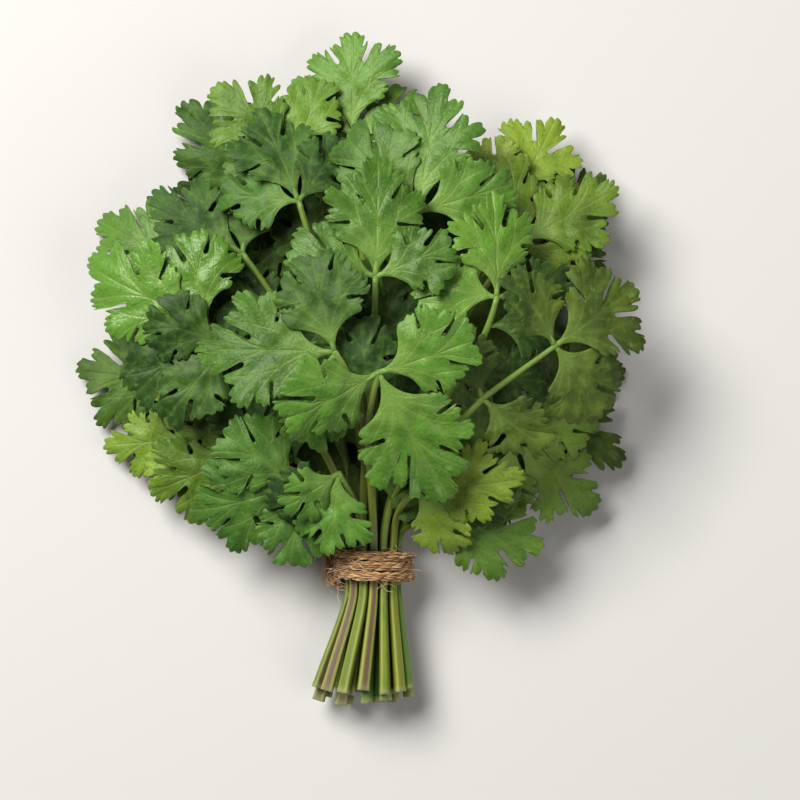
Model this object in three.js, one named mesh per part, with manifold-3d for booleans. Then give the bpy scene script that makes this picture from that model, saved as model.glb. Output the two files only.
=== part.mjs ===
// A bunch of fresh coriander lying on a table: 29 leafy stems held in a few turns of jute twine.
// Millimetres, +Z up. The origin is the spot under the twine that the bunch rests on, the cut ends
// of the stems point to -Y and the leaves spread to +Y. Each leafy stem is two pieces of its own
// colour: the pale stalk, and the green leaf with its rachis, leaflet stalks and cut blades.
import * as THREE from "three";
import { mergeVertices } from "three/addons/utils/BufferGeometryUtils.js";
import Module from "manifold-3d";

const wasm = await Module();
wasm.setup();

// ---- Bundle ----
const ROW_COUNTS = [4, 5, 6, 6, 5, 3]; // stems in each row of the bundle, from the table up
const STEM_PITCH = 3.45;
const ROW_STEP = STEM_PITCH * Math.sin(Math.PI / 3);
const STEM_RADIUS = { cut: 1.95, tie: 1.5, tip: 1.05 };
const STEM_SIDES = 5;
const STEM_STEPS = { least: 5, each: 24 }; // and one step more for each 24 mm above the twine
const STRAIGHT = { from: -7, to: 8.5 }; // the stems run side by side through the twine
const CUT = { length: 45, lead: 5.5, widen: 1.9, shift: -3, rowStep: 4.3, varies: { x: 1.2, y: 3.2 } };
const OFF_TABLE = 0.05;

// ---- Twine ----
const TWINE = { radius: 1.7, pitch: 3.6, turns: 3, sides: 8, steps: 16, start: -1.25 };
const TWINE_LOOP = { across: 13.1, up: 12.5 }; // half axes of the twine's own line
const KNOT = { at: [-16, 8, 9], radius: 2.2, turn: 0.5, steps: 7, tails: [[-19, 13, 5.5], [-21, 6, 5]] };
const TWINE_PRESSED = 0.35; // how much of the twine is pressed flat on the table
const TIE_HEIGHT = TWINE_LOOP.up + TWINE.radius - TWINE_PRESSED;

// ---- Leaves ----
const BLADE_THICKNESS = 0.7;
const STALK_WIDTH = 1.5; // of the flat little stalk that each blade stands on
const LEAF_FOOT = 2; // of the stem's own line that belongs to the leaf, below its fork
const JOINT_GAP = 0.3; // between a stem's top and the leaf that it carries
const RACHIS_SIDES = 5;
const RACHIS_PAST = 1.4; // how far the rachis runs on into the end blade
const HUB = 0.34; // where the ribs of a blade meet, as a share of its length from the base
const DROOP = 0.2; // how far a blade bends down towards its tip, as a share of its length
const CUP = { mean: -0.06, varies: 0.25 }; // how far its two edges turn up, in the same way
const LOBES = [
  // angle from the blade's axis, half width, reach from the hub, teeth on an end and on a side blade
  { angle: 115, half: 18, reach: 0.42, teeth: 2, fewer: 1 },
  { angle: 60, half: 25, reach: 0.57, teeth: 3, fewer: 2 },
  { angle: 0, half: 26, reach: 0.66, teeth: 3, fewer: 2 },
  { angle: -60, half: 25, reach: 0.57, teeth: 3, fewer: 2 },
  { angle: -115, half: 18, reach: 0.42, teeth: 2, fewer: 1 },
];
const LOBE_FALL = 0.2; // how much shorter the outer teeth of a lobe are than its middle one
const LOBE_VARIES = 0.12;
const SINUS = { reach: 0.28, varies: 0.15 }; // between one lobe and the next
const NOTCH = 0.8; // between one tooth and the next, as a share of the lobe's reach
const SIDE_BLADE = { size: 0.84, lower: 0.7, stalk: 0.16, sizeVaries: 0.1, turnVaries: 8 };
const END_STALK = 0.22;

// ---- The heap of leaves ----
const HEAP = { x: -4, y: 90, across: 112, along: 116, foot: 5, height: 58, fullness: 0.65, rim: 0.02 };
const NECK = 80; // how far from the twine the heap has risen to its full height
const LIE = { follows: 0.85, rachis: 0.6, steepest: 52, tipUp: 8, pitchVaries: 8, rollVaries: 14 };
const BEND = { leave: 0.38, arrive: 0.33, spread: 0.012, lift: 0.008, rise: 0.6, turn: 0.5, arch: 0.4 };
const CELL = 2; // of the map of how high the heap has grown
const CLEARANCE = 1.4; // between one leaf and the next in the heap
const STEM_CLEARANCE = 0.84;
const SINK = 6; // a leaf may settle this far below the heap's own shape
const MOST_ARCH = 14;
const CLEAR_FROM = 30; // stems nearer to the twine than this keep apart by their places in the bundle
const TRIES = 30;
const LINE_SAMPLES = 40;
const BLADE_SAMPLES = { between: 4, rings: 10 };

// Each leafy stem, row by row from the table up and from left to right in its row: where its leaf
// branches, which way the leaf points, the length of its end blade, how far the side blades turn
// away from it, the length of rachis to a second pair, how much the whole leaf is tipped up, the
// sides that carry a blade where it isn't both, and whether it is young and yellower than the rest.
const SPRAYS = [
  [
    { at: [-52, 64], turn: 172, size: 35, spread: 62, rachis: 14 },
    { at: [-34, 122], turn: 126, size: 35, spread: 60, rachis: 13 },
    { at: [16, 100], turn: 74, size: 35, spread: 60 },
    { at: [42, 66], turn: 4, size: 31, spread: 64, rachis: 12 },
  ],
  [
    { at: [-66, 47], turn: 186, size: 25, spread: 60, young: true },
    { at: [-50, 96], turn: 148, size: 34, spread: 56, rachis: 14 },
    { at: [-10, 112], turn: 98, size: 35, spread: 60 },
    { at: [46, 108], turn: 40, size: 32, spread: 60, rachis: 12 },
    { at: [54, 60], turn: -30, size: 32, spread: 60 },
  ],
  [
    { at: [-46, 42], turn: 205, size: 32, spread: 62 },
    { at: [-46, 112], turn: 146, size: 33, spread: 54 },
    { at: [-27, 148], turn: 140, size: 32, spread: 60 },
    { at: [-7, 155], turn: 92, size: 32, spread: 60 },
    { at: [50, 132], turn: 62, size: 28, spread: 62, young: true },
    { at: [50, 45], turn: -38, size: 31, spread: 60 },
  ],
  [
    { at: [-26, 31], turn: 198, size: 34, spread: 58 },
    { at: [-28, 40], turn: 150, size: 28, spread: 64 },
    { at: [-26, 130], turn: 112, size: 31, spread: 58 },
    { at: [16, 126], turn: 82, size: 39, spread: 60 },
    { at: [52, 116], turn: 30, size: 31, spread: 62 },
    { at: [20, 19], turn: -14, size: 34, spread: 58, sides: [1] },
  ],
  [
    { at: [-58, 87], turn: 156, size: 38, spread: 60 },
    { at: [-13, 77], turn: 178, size: 38, spread: 68 },
    { at: [1, 103], turn: 88, size: 34, spread: 64 },
    { at: [43, 96], turn: 90, size: 31, spread: 76 },
    { at: [15, 29], turn: 4, size: 30, spread: 66, sides: [-1], young: true },
  ],
  [
    { at: [-12, 35], turn: -97, size: 26, spread: 50, lift: 10, sides: [-1] },
    { at: [2, 70], turn: -62, size: 42, spread: 84, lift: 10 },
    { at: [38, 61], turn: 36, size: 34, spread: 80, rachis: 31 },
  ],
];

const radians = THREE.MathUtils.degToRad;

// A repeatable number from 0 to 1 for blade or stem i and purpose k.
function chance(i, k) {
  const wave = Math.sin(i * 12.9898 + k * 78.233) * 43758.5453;
  return wave - Math.floor(wave);
}
const SEEDS = { pitch: 1, roll: 2, cup: 3, turn: 4, size: 5, lobe: 10, sinus: 20, cutX: 30, cutY: 31 };
const spreadOf = (i, k, amount) => (2 * chance(i, k) - 1) * amount;

// ---- Solids ----
function solidOf(geometry) {
  const bare = new THREE.BufferGeometry();
  bare.setAttribute("position", geometry.getAttribute("position").clone());
  bare.setIndex(geometry.index ? geometry.index.clone() : null);
  const merged = mergeVertices(bare, 1e-4);
  return new wasm.Manifold(
    new wasm.Mesh({
      numProp: 3,
      vertProperties: merged.attributes.position.array,
      triVerts: new Uint32Array(merged.index.array),
    }),
  );
}

function geometryOf(solid) {
  const mesh = solid.getMesh();
  const geometry = new THREE.BufferGeometry();
  geometry.setAttribute("position", new THREE.BufferAttribute(mesh.vertProperties, 3));
  geometry.setIndex(new THREE.BufferAttribute(mesh.triVerts, 1));
  geometry.computeVertexNormals();
  return geometry;
}

// A round rod swept along a curve, its radius given from 0 to 1 along it.
function rodAlong(curve, radiusAt, sides, steps, up = new THREE.Vector3(0, 0, 1)) {
  const rod = new THREE.CylinderGeometry(1, 1, 1, sides, steps);
  const place = rod.attributes.position;
  for (let i = 0; i < place.count; i++) {
    const along = THREE.MathUtils.clamp(place.getY(i) + 0.5, 0, 1);
    const middle = curve.getPoint(along);
    const ahead = curve.getTangent(along);
    const side = new THREE.Vector3().crossVectors(ahead, up).normalize();
    const over = new THREE.Vector3().crossVectors(side, ahead);
    const radius = radiusAt(along);
    middle.addScaledVector(side, place.getX(i) * radius).addScaledVector(over, place.getZ(i) * radius);
    place.setXYZ(i, middle.x, middle.y, middle.z);
  }
  return rod;
}

// ---- Blades ----
// The cut outline of a blade round its hub: [angle in degrees, reach as a share of its length].
function outlineOf(blade) {
  const base = 180 - THREE.MathUtils.radToDeg(STALK_WIDTH / 2 / (HUB * blade.size));
  const foot = HUB + blade.stalk / blade.size;
  const root = 180 - THREE.MathUtils.radToDeg(STALK_WIDTH / 2 / (foot * blade.size));
  const points = [[root, foot], [base, HUB]];
  LOBES.forEach((lobe, number) => {
    const reach = lobe.reach * (1 + spreadOf(blade.id, SEEDS.lobe + number, LOBE_VARIES));
    const steps = 2 * (blade.last ? lobe.teeth : lobe.fewer) - 2;
    for (let s = 0; s <= steps; s++) {
      const across = steps ? 1 - (2 * s) / steps : 0;
      const fall = 1 - LOBE_FALL * across * across;
      points.push([lobe.angle + across * lobe.half, reach * fall * (s % 2 ? NOTCH : 1)]);
    }
    const next = LOBES[number + 1];
    if (next) {
      const between = (lobe.angle - lobe.half + next.angle + next.half) / 2;
      points.push([between, SINUS.reach * (1 + spreadOf(blade.id, SEEDS.sinus + number, SINUS.varies))]);
    }
  });
  points.push([-base, HUB], [-root, foot]);
  return points;
}

// Where a point of a blade lies: along and across are shares of its length from the base.
function bladePoint(blade, along, across, above = 0) {
  const bend = -DROOP * Math.max(along, 0) ** 2 + blade.cup * across * across;
  return blade.base
    .clone()
    .addScaledVector(blade.axis, along * blade.size)
    .addScaledVector(blade.side, across * blade.size)
    .addScaledVector(blade.normal, bend * blade.size + above);
}

// A thin cut blade, its ribs meeting in one hub on each face.
function bladeGeometry(blade) {
  const outline = outlineOf(blade);
  const disc = new THREE.CylinderGeometry(1, 1, BLADE_THICKNESS, outline.length, 1);
  const place = disc.attributes.position;
  for (let i = 0; i < place.count; i++) {
    const radius = Math.hypot(place.getX(i), place.getZ(i));
    let along = HUB;
    let across = 0;
    if (radius > 0.5) {
      const turn = Math.atan2(place.getX(i), place.getZ(i)) / (2 * Math.PI);
      const number = Math.round((turn + 1) * outline.length) % outline.length;
      const [angle, reach] = outline[outline.length - 1 - number];
      along += reach * Math.cos(radians(angle));
      across = reach * Math.sin(radians(angle));
    }
    const point = bladePoint(blade, along, across, place.getY(i));
    place.setXYZ(i, point.x, point.y, point.z);
  }
  return disc;
}

// ---- The heap's own shape ----
function heapHeight(x, y, share) {
  const away = ((x - HEAP.x) / HEAP.across) ** 2 + ((y - HEAP.y) / HEAP.along) ** 2;
  const heap = HEAP.foot + HEAP.height * share * Math.max(HEAP.rim, 1 - away) ** HEAP.fullness;
  const neck = TIE_HEIGHT + (share - 0.5) * ROW_STEP * ROW_COUNTS.length;
  return THREE.MathUtils.lerp(neck, heap, THREE.MathUtils.smoothstep(Math.hypot(x, y), 0, NECK));
}
function heapSlope(x, y, share, heading) {
  const step = 4;
  const ahead = heapHeight(x + step * Math.cos(heading), y + step * Math.sin(heading), share);
  const behind = heapHeight(x - step * Math.cos(heading), y - step * Math.sin(heading), share);
  return Math.atan2(ahead - behind, 2 * step);
}

// One blade of a leaf: it starts at root, points to heading, and follows the slope of the heap.
function makeBlade(id, root, heading, size, stalk, share, lift, last) {
  const middle = [root.x + size * 0.5 * Math.cos(heading), root.y + size * 0.5 * Math.sin(heading)];
  const most = radians(LIE.steepest);
  const tip = radians(lift + LIE.tipUp + spreadOf(id, SEEDS.pitch, LIE.pitchVaries));
  const lean = radians(spreadOf(id, SEEDS.roll, LIE.rollVaries));
  const slope = heapSlope(...middle, share, heading) * LIE.follows;
  const sideSlope = heapSlope(...middle, share, heading + Math.PI / 2) * LIE.follows;
  const pitch = THREE.MathUtils.clamp(slope + tip, -most, most);
  const roll = THREE.MathUtils.clamp(sideSlope + lean, -most, most);
  const axis = new THREE.Vector3(
    Math.cos(heading) * Math.cos(pitch), Math.sin(heading) * Math.cos(pitch), Math.sin(pitch));
  const level = new THREE.Vector3(-Math.sin(heading), Math.cos(heading), 0);
  const side = level.multiplyScalar(Math.cos(roll)).add(new THREE.Vector3(0, 0, Math.sin(roll)));
  side.addScaledVector(axis, -side.dot(axis)).normalize();
  const normal = new THREE.Vector3().crossVectors(axis, side);
  const base = root.clone().addScaledVector(axis, stalk);
  const cup = CUP.mean + spreadOf(id, SEEDS.cup, CUP.varies);
  return { id, base, axis, side, normal, size, stalk, last, cup };
}

// The blades of a leaf that branches at height zero, pair by pair and then the end blade.
function makeLeaf(spray, number, share) {
  const heading = radians(spray.turn);
  const lift = spray.lift ?? 0;
  const rachis = spray.rachis ?? 0;
  const slope = heapSlope(...spray.at, share, heading) * LIE.rachis;
  const fork = new THREE.Vector3(spray.at[0], spray.at[1], 0);
  const ahead = new THREE.Vector3(Math.cos(heading), Math.sin(heading), Math.tan(slope));
  const forks = rachis ? [fork, fork.clone().addScaledVector(ahead, rachis)] : [fork];
  const blades = [];
  forks.forEach((place, pair) => {
    const scale = pair < forks.length - 1 ? SIDE_BLADE.lower : SIDE_BLADE.size;
    for (const hand of spray.sides ?? [1, -1]) {
      const id = number * 10 + blades.length;
      const away = radians(spray.spread + spreadOf(id, SEEDS.turn, SIDE_BLADE.turnVaries));
      const size = spray.size * scale * (1 + spreadOf(id, SEEDS.size, SIDE_BLADE.sizeVaries));
      const stalk = SIDE_BLADE.stalk * spray.size;
      blades.push(makeBlade(id, place, heading + hand * away, size, stalk, share, lift, false));
    }
  });
  const id = number * 10 + blades.length;
  const stalk = END_STALK * spray.size;
  blades.push(makeBlade(id, forks.at(-1), heading, spray.size, stalk, share, lift, true));
  return { forks, blades };
}

// ---- Stems ----
function slotOf(row, column, along) {
  const x = (column - (ROW_COUNTS[row] - 1) / 2) * STEM_PITCH;
  return new THREE.Vector3(x, along, TIE_HEIGHT + (row - (ROW_COUNTS.length - 1) / 2) * ROW_STEP);
}

function cutEndOf(row, column, number) {
  const slot = slotOf(row, column, 0);
  return new THREE.Vector3(
    slot.x * CUT.widen + CUT.shift + spreadOf(number, SEEDS.cutX, CUT.varies.x),
    -CUT.length + spreadOf(number, SEEDS.cutY, CUT.varies.y),
    STEM_RADIUS.cut + OFF_TABLE + row * CUT.rowStep,
  );
}

// The stem's line from the twine to the leaf, for a leaf that branches at this height.
function risingLine(row, column, spray, height, arch) {
  const slot = slotOf(row, column, STRAIGHT.to);
  const fork = new THREE.Vector3(spray.at[0], spray.at[1], height);
  const reach = slot.distanceTo(fork);
  const heading = Math.atan2(fork.y - slot.y, fork.x - slot.x);
  const end = heading + BEND.turn * Math.sin(radians(spray.turn) - heading);
  const leave = new THREE.Vector3(slot.x * BEND.spread, 1, (slot.z - TIE_HEIGHT) * BEND.lift);
  const rise = (BEND.rise * (height - slot.z)) / reach;
  const arrive = new THREE.Vector3(Math.cos(end), Math.sin(end), rise);
  const raised = new THREE.Vector3(0, 0, arch);
  return new THREE.CubicBezierCurve3(
    slot,
    slot.clone().addScaledVector(leave.normalize(), reach * BEND.leave).addScaledVector(raised, BEND.arch),
    fork.clone().addScaledVector(arrive.normalize(), -reach * BEND.arrive).add(raised),
    fork,
  );
}

// ---- Heaping: each leafy stem is lowered on to those below it ----
const tops = new Map();
const cellOf = (x, y) => Math.floor(x / CELL) + ":" + Math.floor(y / CELL);
const topAt = (x, y) => tops.get(cellOf(x, y)) ?? 0;
function raiseTop(x, y, height) {
  for (let i = -1; i <= 1; i++)
    for (let j = -1; j <= 1; j++) {
      const cell = cellOf(x + i * CELL, y + j * CELL);
      tops.set(cell, Math.max(tops.get(cell) ?? 0, height));
    }
}

function bladeSamples(blade) {
  const points = [];
  const outline = outlineOf(blade);
  const { between, rings } = BLADE_SAMPLES;
  for (let k = 0; k < between * (outline.length - 1); k++) {
    const before = outline[Math.floor(k / between)];
    const after = outline[Math.floor(k / between) + 1];
    const part = (k % between) / between;
    const angle = radians(before[0] + (after[0] - before[0]) * part);
    const reach = before[1] + (after[1] - before[1]) * part;
    for (let ring = 1; ring <= rings; ring++) {
      const radius = (reach * ring) / rings;
      points.push(bladePoint(blade, HUB + radius * Math.cos(angle), radius * Math.sin(angle)));
    }
  }
  return points;
}

// How far a stem's line is short of clearing what lies under it, once it is away from the twine.
function shortfall(line) {
  let short = -Infinity;
  for (let k = 0; k < LINE_SAMPLES; k++) {
    const p = line.getPoint(k / LINE_SAMPLES);
    if (Math.hypot(p.x, p.y) < CLEAR_FROM) continue;
    const below = topAt(p.x, p.y);
    short = Math.max(short, below + (below > 0 ? STEM_CLEARANCE : 0) + STEM_RADIUS.tip - p.z);
  }
  return short;
}

// A leaf is lowered until one of its blades meets the heap. Then its stem is arched, and past that
// the whole leaf raised, until the stem clears the heap as well.
function settle(row, column, spray, number) {
  const share = (row + 0.35) / (ROW_COUNTS.length - 0.5);
  const leaf = makeLeaf(spray, number, share);
  const samples = leaf.blades.flatMap(bladeSamples);
  const half = BLADE_THICKNESS / 2;
  let height = heapHeight(...spray.at, share) - SINK;
  for (const p of samples) {
    const below = topAt(p.x, p.y);
    height = Math.max(height, below + (below > 0 ? CLEARANCE : 0) + half - p.z);
  }
  let arch = 0;
  for (let tries = 0; tries < TRIES; tries++) {
    const short = shortfall(risingLine(row, column, spray, height, arch));
    if (short <= 0) break;
    if (arch < MOST_ARCH) arch += Math.max(0.5, short);
    else height += 1;
  }
  const line = risingLine(row, column, spray, height, arch);
  for (const p of samples) raiseTop(p.x, p.y, p.z + height + half);
  for (let k = 0; k <= LINE_SAMPLES; k++) {
    const p = line.getPoint(k / LINE_SAMPLES);
    raiseTop(p.x, p.y, p.z + STEM_RADIUS.tip);
  }
  for (const part of [...leaf.blades.map((blade) => blade.base), ...leaf.forks]) part.z += height;
  return { ...leaf, line };
}

// ---- Pieces ----
// A stem from its cut end, through the twine and up to just below its leaf.
function stemGeometry(row, column, number, line) {
  const [below, above] = [STRAIGHT.from, STRAIGHT.to].map((along) => slotOf(row, column, along));
  const cut = cutEndOf(row, column, number);
  const lead = slotOf(row, column, STRAIGHT.from - CUT.lead);
  const path = new THREE.CurvePath();
  path.add(new THREE.CubicBezierCurve3(cut, cut.clone().lerp(below, 0.4), lead, below));
  path.add(new THREE.LineCurve3(below, above));
  path.add(line);
  const rising = line.getLength();
  const tie = 1 - rising / path.getLength();
  const end = 1 - (LEAF_FOOT + JOINT_GAP) / path.getLength();
  const part = { getPoint: (t) => path.getPointAt(t * end), getTangent: (t) => path.getTangentAt(t * end) };
  const radiusAt = (t) => t < tie
    ? THREE.MathUtils.lerp(STEM_RADIUS.cut, STEM_RADIUS.tie, t / tie)
    : THREE.MathUtils.lerp(STEM_RADIUS.tie, STEM_RADIUS.tip, (t - tie) / (1 - tie));
  return rodAlong(part, radiusAt, STEM_SIDES, STEM_STEPS.least + Math.ceil(rising / STEM_STEPS.each));
}

// The rachis from the stem's top to the last fork, joined with every blade that it carries.
function leafGeometry(leaf) {
  const [first] = leaf.forks;
  const last = leaf.forks.at(-1);
  const arrive = leaf.line.getTangent(1);
  const start = first.clone().addScaledVector(arrive, -LEAF_FOOT);
  const ahead = last === first ? arrive : last.clone().sub(first).normalize();
  const end = last.clone().addScaledVector(ahead, RACHIS_PAST);
  const rachis = new THREE.CatmullRomCurve3([start, first, end]);
  let solid = solidOf(rodAlong(rachis, () => STEM_RADIUS.tip, RACHIS_SIDES, 2));
  for (const blade of leaf.blades) solid = solid.add(solidOf(bladeGeometry(blade)));
  return geometryOf(solid);
}

// The twine's own line: whole turns round the bundle, from and to its left side.
class Winding extends THREE.Curve {
  getPoint(t) {
    const turn = Math.PI * (2 * TWINE.turns * t - 1);
    const along = TWINE.pitch * (TWINE.turns * t + TWINE.start);
    return new THREE.Vector3(
      TWINE_LOOP.across * Math.cos(turn), along, TIE_HEIGHT + TWINE_LOOP.up * Math.sin(turn));
  }
}

// The turns, the two ends that meet at the knot on the left, and the wrap of the knot itself.
function twineGeometry() {
  const winding = new Winding();
  const rope = (line, steps, up) => solidOf(rodAlong(line, () => TWINE.radius, TWINE.sides, steps, up));
  const through = (...points) => new THREE.CatmullRomCurve3(points);
  const [first, last] = [winding.getPoint(0), winding.getPoint(1)];
  const knot = new THREE.Vector3(...KNOT.at);
  const tails = KNOT.tails.map((point) => new THREE.Vector3(...point));
  const crossing = through(first, first.clone().add(new THREE.Vector3(-2.6, 2.4, -2)), knot, tails[0]);
  const closing = through(last, knot, tails[1]);
  const wrap = new THREE.TorusGeometry(KNOT.radius, TWINE.radius, TWINE.sides, KNOT.steps);
  wrap.rotateX(Math.PI / 2).rotateZ(KNOT.turn).translate(...KNOT.at);
  const table = new THREE.BoxGeometry(200, 200, 20).translate(0, 0, -10);
  return geometryOf(
    rope(winding, TWINE.steps * TWINE.turns, new THREE.Vector3(0, 1, 0))
      .add(rope(crossing, 4))
      .add(rope(closing, 4))
      .add(solidOf(wrap))
      .subtract(solidOf(table)),
  );
}

// A row is laid from its longest stem to its shortest, so that the short ones lie on top.
function longestFirst(sprays) {
  const reach = (column) => Math.hypot(...sprays[column].at);
  return [...sprays.keys()].sort((a, b) => reach(b) - reach(a));
}

const MATERIALS = {
  stalk: new THREE.MeshStandardMaterial({ color: 0x9aa85a, roughness: 0.5, metalness: 0 }),
  leaf: new THREE.MeshStandardMaterial({ color: 0x4f8f2e, roughness: 0.5, metalness: 0 }),
  youngLeaf: new THREE.MeshStandardMaterial({ color: 0x9dc24a, roughness: 0.5, metalness: 0 }),
  twine: new THREE.MeshStandardMaterial({ color: 0xb98a58, roughness: 0.95, metalness: 0 }),
};

function pieceOf(name, geometry, material) {
  const piece = new THREE.Mesh(geometry, material);
  piece.name = name;
  return piece;
}

const bunch = new THREE.Group();
raiseTop(KNOT.at[0], KNOT.at[1], KNOT.at[2] + KNOT.radius + TWINE.radius);
let settled = 0;
SPRAYS.forEach((sprays, row) => {
  for (const column of longestFirst(sprays)) {
    const spray = sprays[column];
    const number = settled + column + 1;
    const leaf = settle(row, column, spray, number);
    const label = String(number).padStart(2, "0");
    bunch.add(pieceOf("stem_" + label, stemGeometry(row, column, number, leaf.line), MATERIALS.stalk));
    const green = spray.young ? MATERIALS.youngLeaf : MATERIALS.leaf;
    bunch.add(pieceOf("leaf_" + label, leafGeometry(leaf), green));
  }
  settled += sprays.length;
});
bunch.add(pieceOf("twine", twineGeometry(), MATERIALS.twine));

export default bunch;
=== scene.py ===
"""A bunch of fresh coriander tied with jute twine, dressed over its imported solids.

Every length in this file is in millimetres until it is written to a mesh, and +Z is up. The
origin is the spot under the twine that the bunch rests on; the cut ends point to -Y.
"""
import math
from collections import namedtuple

import bmesh
import bpy
import numpy as np
from bpy.props import FloatProperty, FloatVectorProperty, IntProperty, PointerProperty
from mathutils import Matrix, Vector


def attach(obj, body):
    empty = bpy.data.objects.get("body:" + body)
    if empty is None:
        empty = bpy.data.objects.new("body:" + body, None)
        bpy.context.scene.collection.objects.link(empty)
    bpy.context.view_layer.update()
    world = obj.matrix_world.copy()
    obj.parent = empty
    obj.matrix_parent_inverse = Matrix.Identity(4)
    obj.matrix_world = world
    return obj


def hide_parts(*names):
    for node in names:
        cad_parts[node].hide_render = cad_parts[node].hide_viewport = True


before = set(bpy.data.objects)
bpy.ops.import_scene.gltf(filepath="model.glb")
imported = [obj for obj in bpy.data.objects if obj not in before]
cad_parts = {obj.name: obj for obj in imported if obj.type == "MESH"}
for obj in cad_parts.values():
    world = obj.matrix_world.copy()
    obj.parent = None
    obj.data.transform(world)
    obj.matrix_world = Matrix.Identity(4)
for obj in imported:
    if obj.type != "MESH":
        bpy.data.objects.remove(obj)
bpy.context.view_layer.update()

bl_info = {
    "name": "Coriander bunch",
    "version": (1, 0, 0),
    "blender": (4, 5, 0),
    "location": "View3D > Sidebar > Coriander",
    "description": "Models a tied bunch of fresh coriander over its packed solids",
    "category": "Add Mesh",
}

MM = 0.001

# ---- Bundle and heap: the same plan as the solids follow ----
ROW_COUNTS = (4, 5, 6, 6, 5, 3)
STEM_PITCH = 3.45
ROW_STEP = STEM_PITCH * math.sin(math.pi / 3)
STEM_RADIUS = {"cut": 1.95, "tie": 1.5, "tip": 1.05}
STRAIGHT = (-7, 8.5)  # the stems run straight from one of these to the other, through the twine
CUT = {"length": 45, "lead": 5.5, "widen": 1.9, "shift": -3, "row_step": 4.3, "vary_x": 1.2, "vary_y": 3.2}
FOOT_EASE = 0.4
OFF_TABLE = 0.05
TWINE = {"radius": 1.7, "pitch": 3.6, "turns": 3, "start": -1.25, "pressed": 0.35}
TWINE_LOOP = {"across": 13.1, "up": 12.5}
KNOT = {"at": (-16, 8, 9), "radius": 2.2, "turn": 0.5, "tails": ((-19, 13, 5.5), (-21, 6, 5))}
THREAD_LAY = 11  # length of one twist of the threads round a strand
FIBRE_LOWEST = {"start": 2.5, "rest": 0.5}  # heights under which the twine has no stray fibres
TIE_HEIGHT = TWINE_LOOP["up"] + TWINE["radius"] - TWINE["pressed"]
HUB = 0.34  # where a blade's lobes meet, as a share of its length
DROOP = 0.2
CUP = (-0.06, 0.25)  # how far a blade's sides rise, and how much this varies
SOLID_THICKNESS = 0.7
# A lobe of a blade: its turn from the middle rib and half its width, in degrees, its length as a
# share of the blade's, and how many parts it is cut in on an end blade and on any other.
Lobe = namedtuple("Lobe", "turn half length end_parts parts")
LOBES = (
    Lobe(115, 18, 0.42, 1, 1), Lobe(60, 25, 0.57, 3, 2), Lobe(0, 26, 0.66, 3, 2),
    Lobe(-60, 25, 0.57, 3, 2), Lobe(-115, 18, 0.42, 1, 1))
LOBE_FALL = 0.14
LOBE_VARIES = 0.12
SINUS = (0.28, 0.15)  # how far from the hub the gaps between lobes end, and how much this varies
SIDE_BLADE = {"size": 0.84, "lower": 0.7, "stalk": 0.16, "size_varies": 0.1, "turn_varies": 8}
END_STALK = 0.22
HEAP = {
    "x": -4, "y": 90, "across": 112, "along": 116, "foot": 5, "height": 58, "fullness": 0.65, "rim": 0.02}
NECK = 80  # how far from the twine the stems have spread to the full height of the heap
LIE = {"follows": 0.85, "rachis": 0.6, "steepest": 52, "tip_up": 8, "pitch": 8, "roll": 14}
BEND = {
    "leave": 0.38, "arrive": 0.33, "spread": 0.012, "lift": 0.008, "rise": 0.6, "turn": 0.5, "arch": 0.4}
CLEAR_OF_TIE = 2
ARCHES = np.arange(0, 16, 0.5)  # the arches that are tried against a stem's solid

# ---- Blades: their margins, ribs and forms ----
# The ribs on each half of a blade: the turn at the base and the turn gained over the blade's
# length, in degrees, and the share of the length that the rib starts at.
RIBS = (
    (0, 0, 0.0), (14, 40, 0.03), (46, 52, 0.02), (-14, 34, 0.42), (36, -22, 0.34), (18, 52, 0.40),
    (38, 24, 0.16), (56, 44, 0.14))
RIB_FOOT = 0.02  # how far behind the base the ribs would meet
RING_SHARES = (0.2, 0.4, 0.6, 0.8)
HUB_RINGS = (0.035, 0.07)
EDGE = {"width": 0.3, "least": 0.7, "most": 0.985}  # where the last ring inside the margin lies
BASE_TURN = 124  # degrees round the hub where the lobes end and the wedge of the base begins
TOOTH = {"pitch": 2.5, "height": 1.5, "varies": 0.4, "ripple": 0.3, "lean": 0.24, "blunt": 0.8}
PART_SWELL = (0.05, 0.015)  # how much a part falls at its sides: at least, and more for each tooth
# The slits between the parts of one lobe, and the wider ones between two lobes.
SLITS = {
    "turn_varies": 5, "deep": 0.77, "shallow": 0.1, "varies": 0.07, "wide": 0.4, "closing": 0.9,
    "eye": 0.10}
GAPS = {
    "turn_varies": 6, "deep": -0.05, "shallow": 0.04, "varies": 0.04, "wide": 0.6, "widen": 0.55,
    "closing": 0.97, "eye": 0.12, "eye_grows": 0.05}
LOBE_HALF = 0.55  # turn from a lobe's middle, in radians, past which it bends no further
PLAIN_SIZE = 34  # length of the blade that curls as far as the leaves' curl says
SLIT_END = 1.6  # how long the round end of a slit is, in slit widths
# The wedge that a blade narrows to at its base: where its sides meet the little stalk, as a share
# of that stalk and in millimetres, and how they are bowed and how much this varies.
WEDGE_FOOT = (-0.85, 0.55)
WEDGE_BOW = ((0.06, 0.04), (0.05, 0.04))
# How a blade stands off its plain face: how far its lobes curl, hang, twist and fold, the ripples
# round its margin, in radians a degree, and the waves along and across it, in radians a millimetre.
FORM = {"curl": 0.9, "hang": 0.2, "twist": 0.9, "keel": 2.2}
RIPPLES = {"broad": 0.157, "fine": 0.297, "fine_height": 0.6}
WAVES = {"along": 0.55, "across": 0.5}
# A slit: its turn, how far from the hub it ends, how wide it is in millimetres, how far its mouth
# closes and over what length past its eye.
Cut = namedtuple("Cut", "turn inner wide closing eye")
DETAIL = {"end": 1, "side": 0.75, "inner": 0.4}  # shares of the margin points that blades have

# ---- Blades inside the bunch ----
CELL = 2.0  # size of the cells that the top view is divided in
GRID = 160
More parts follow.
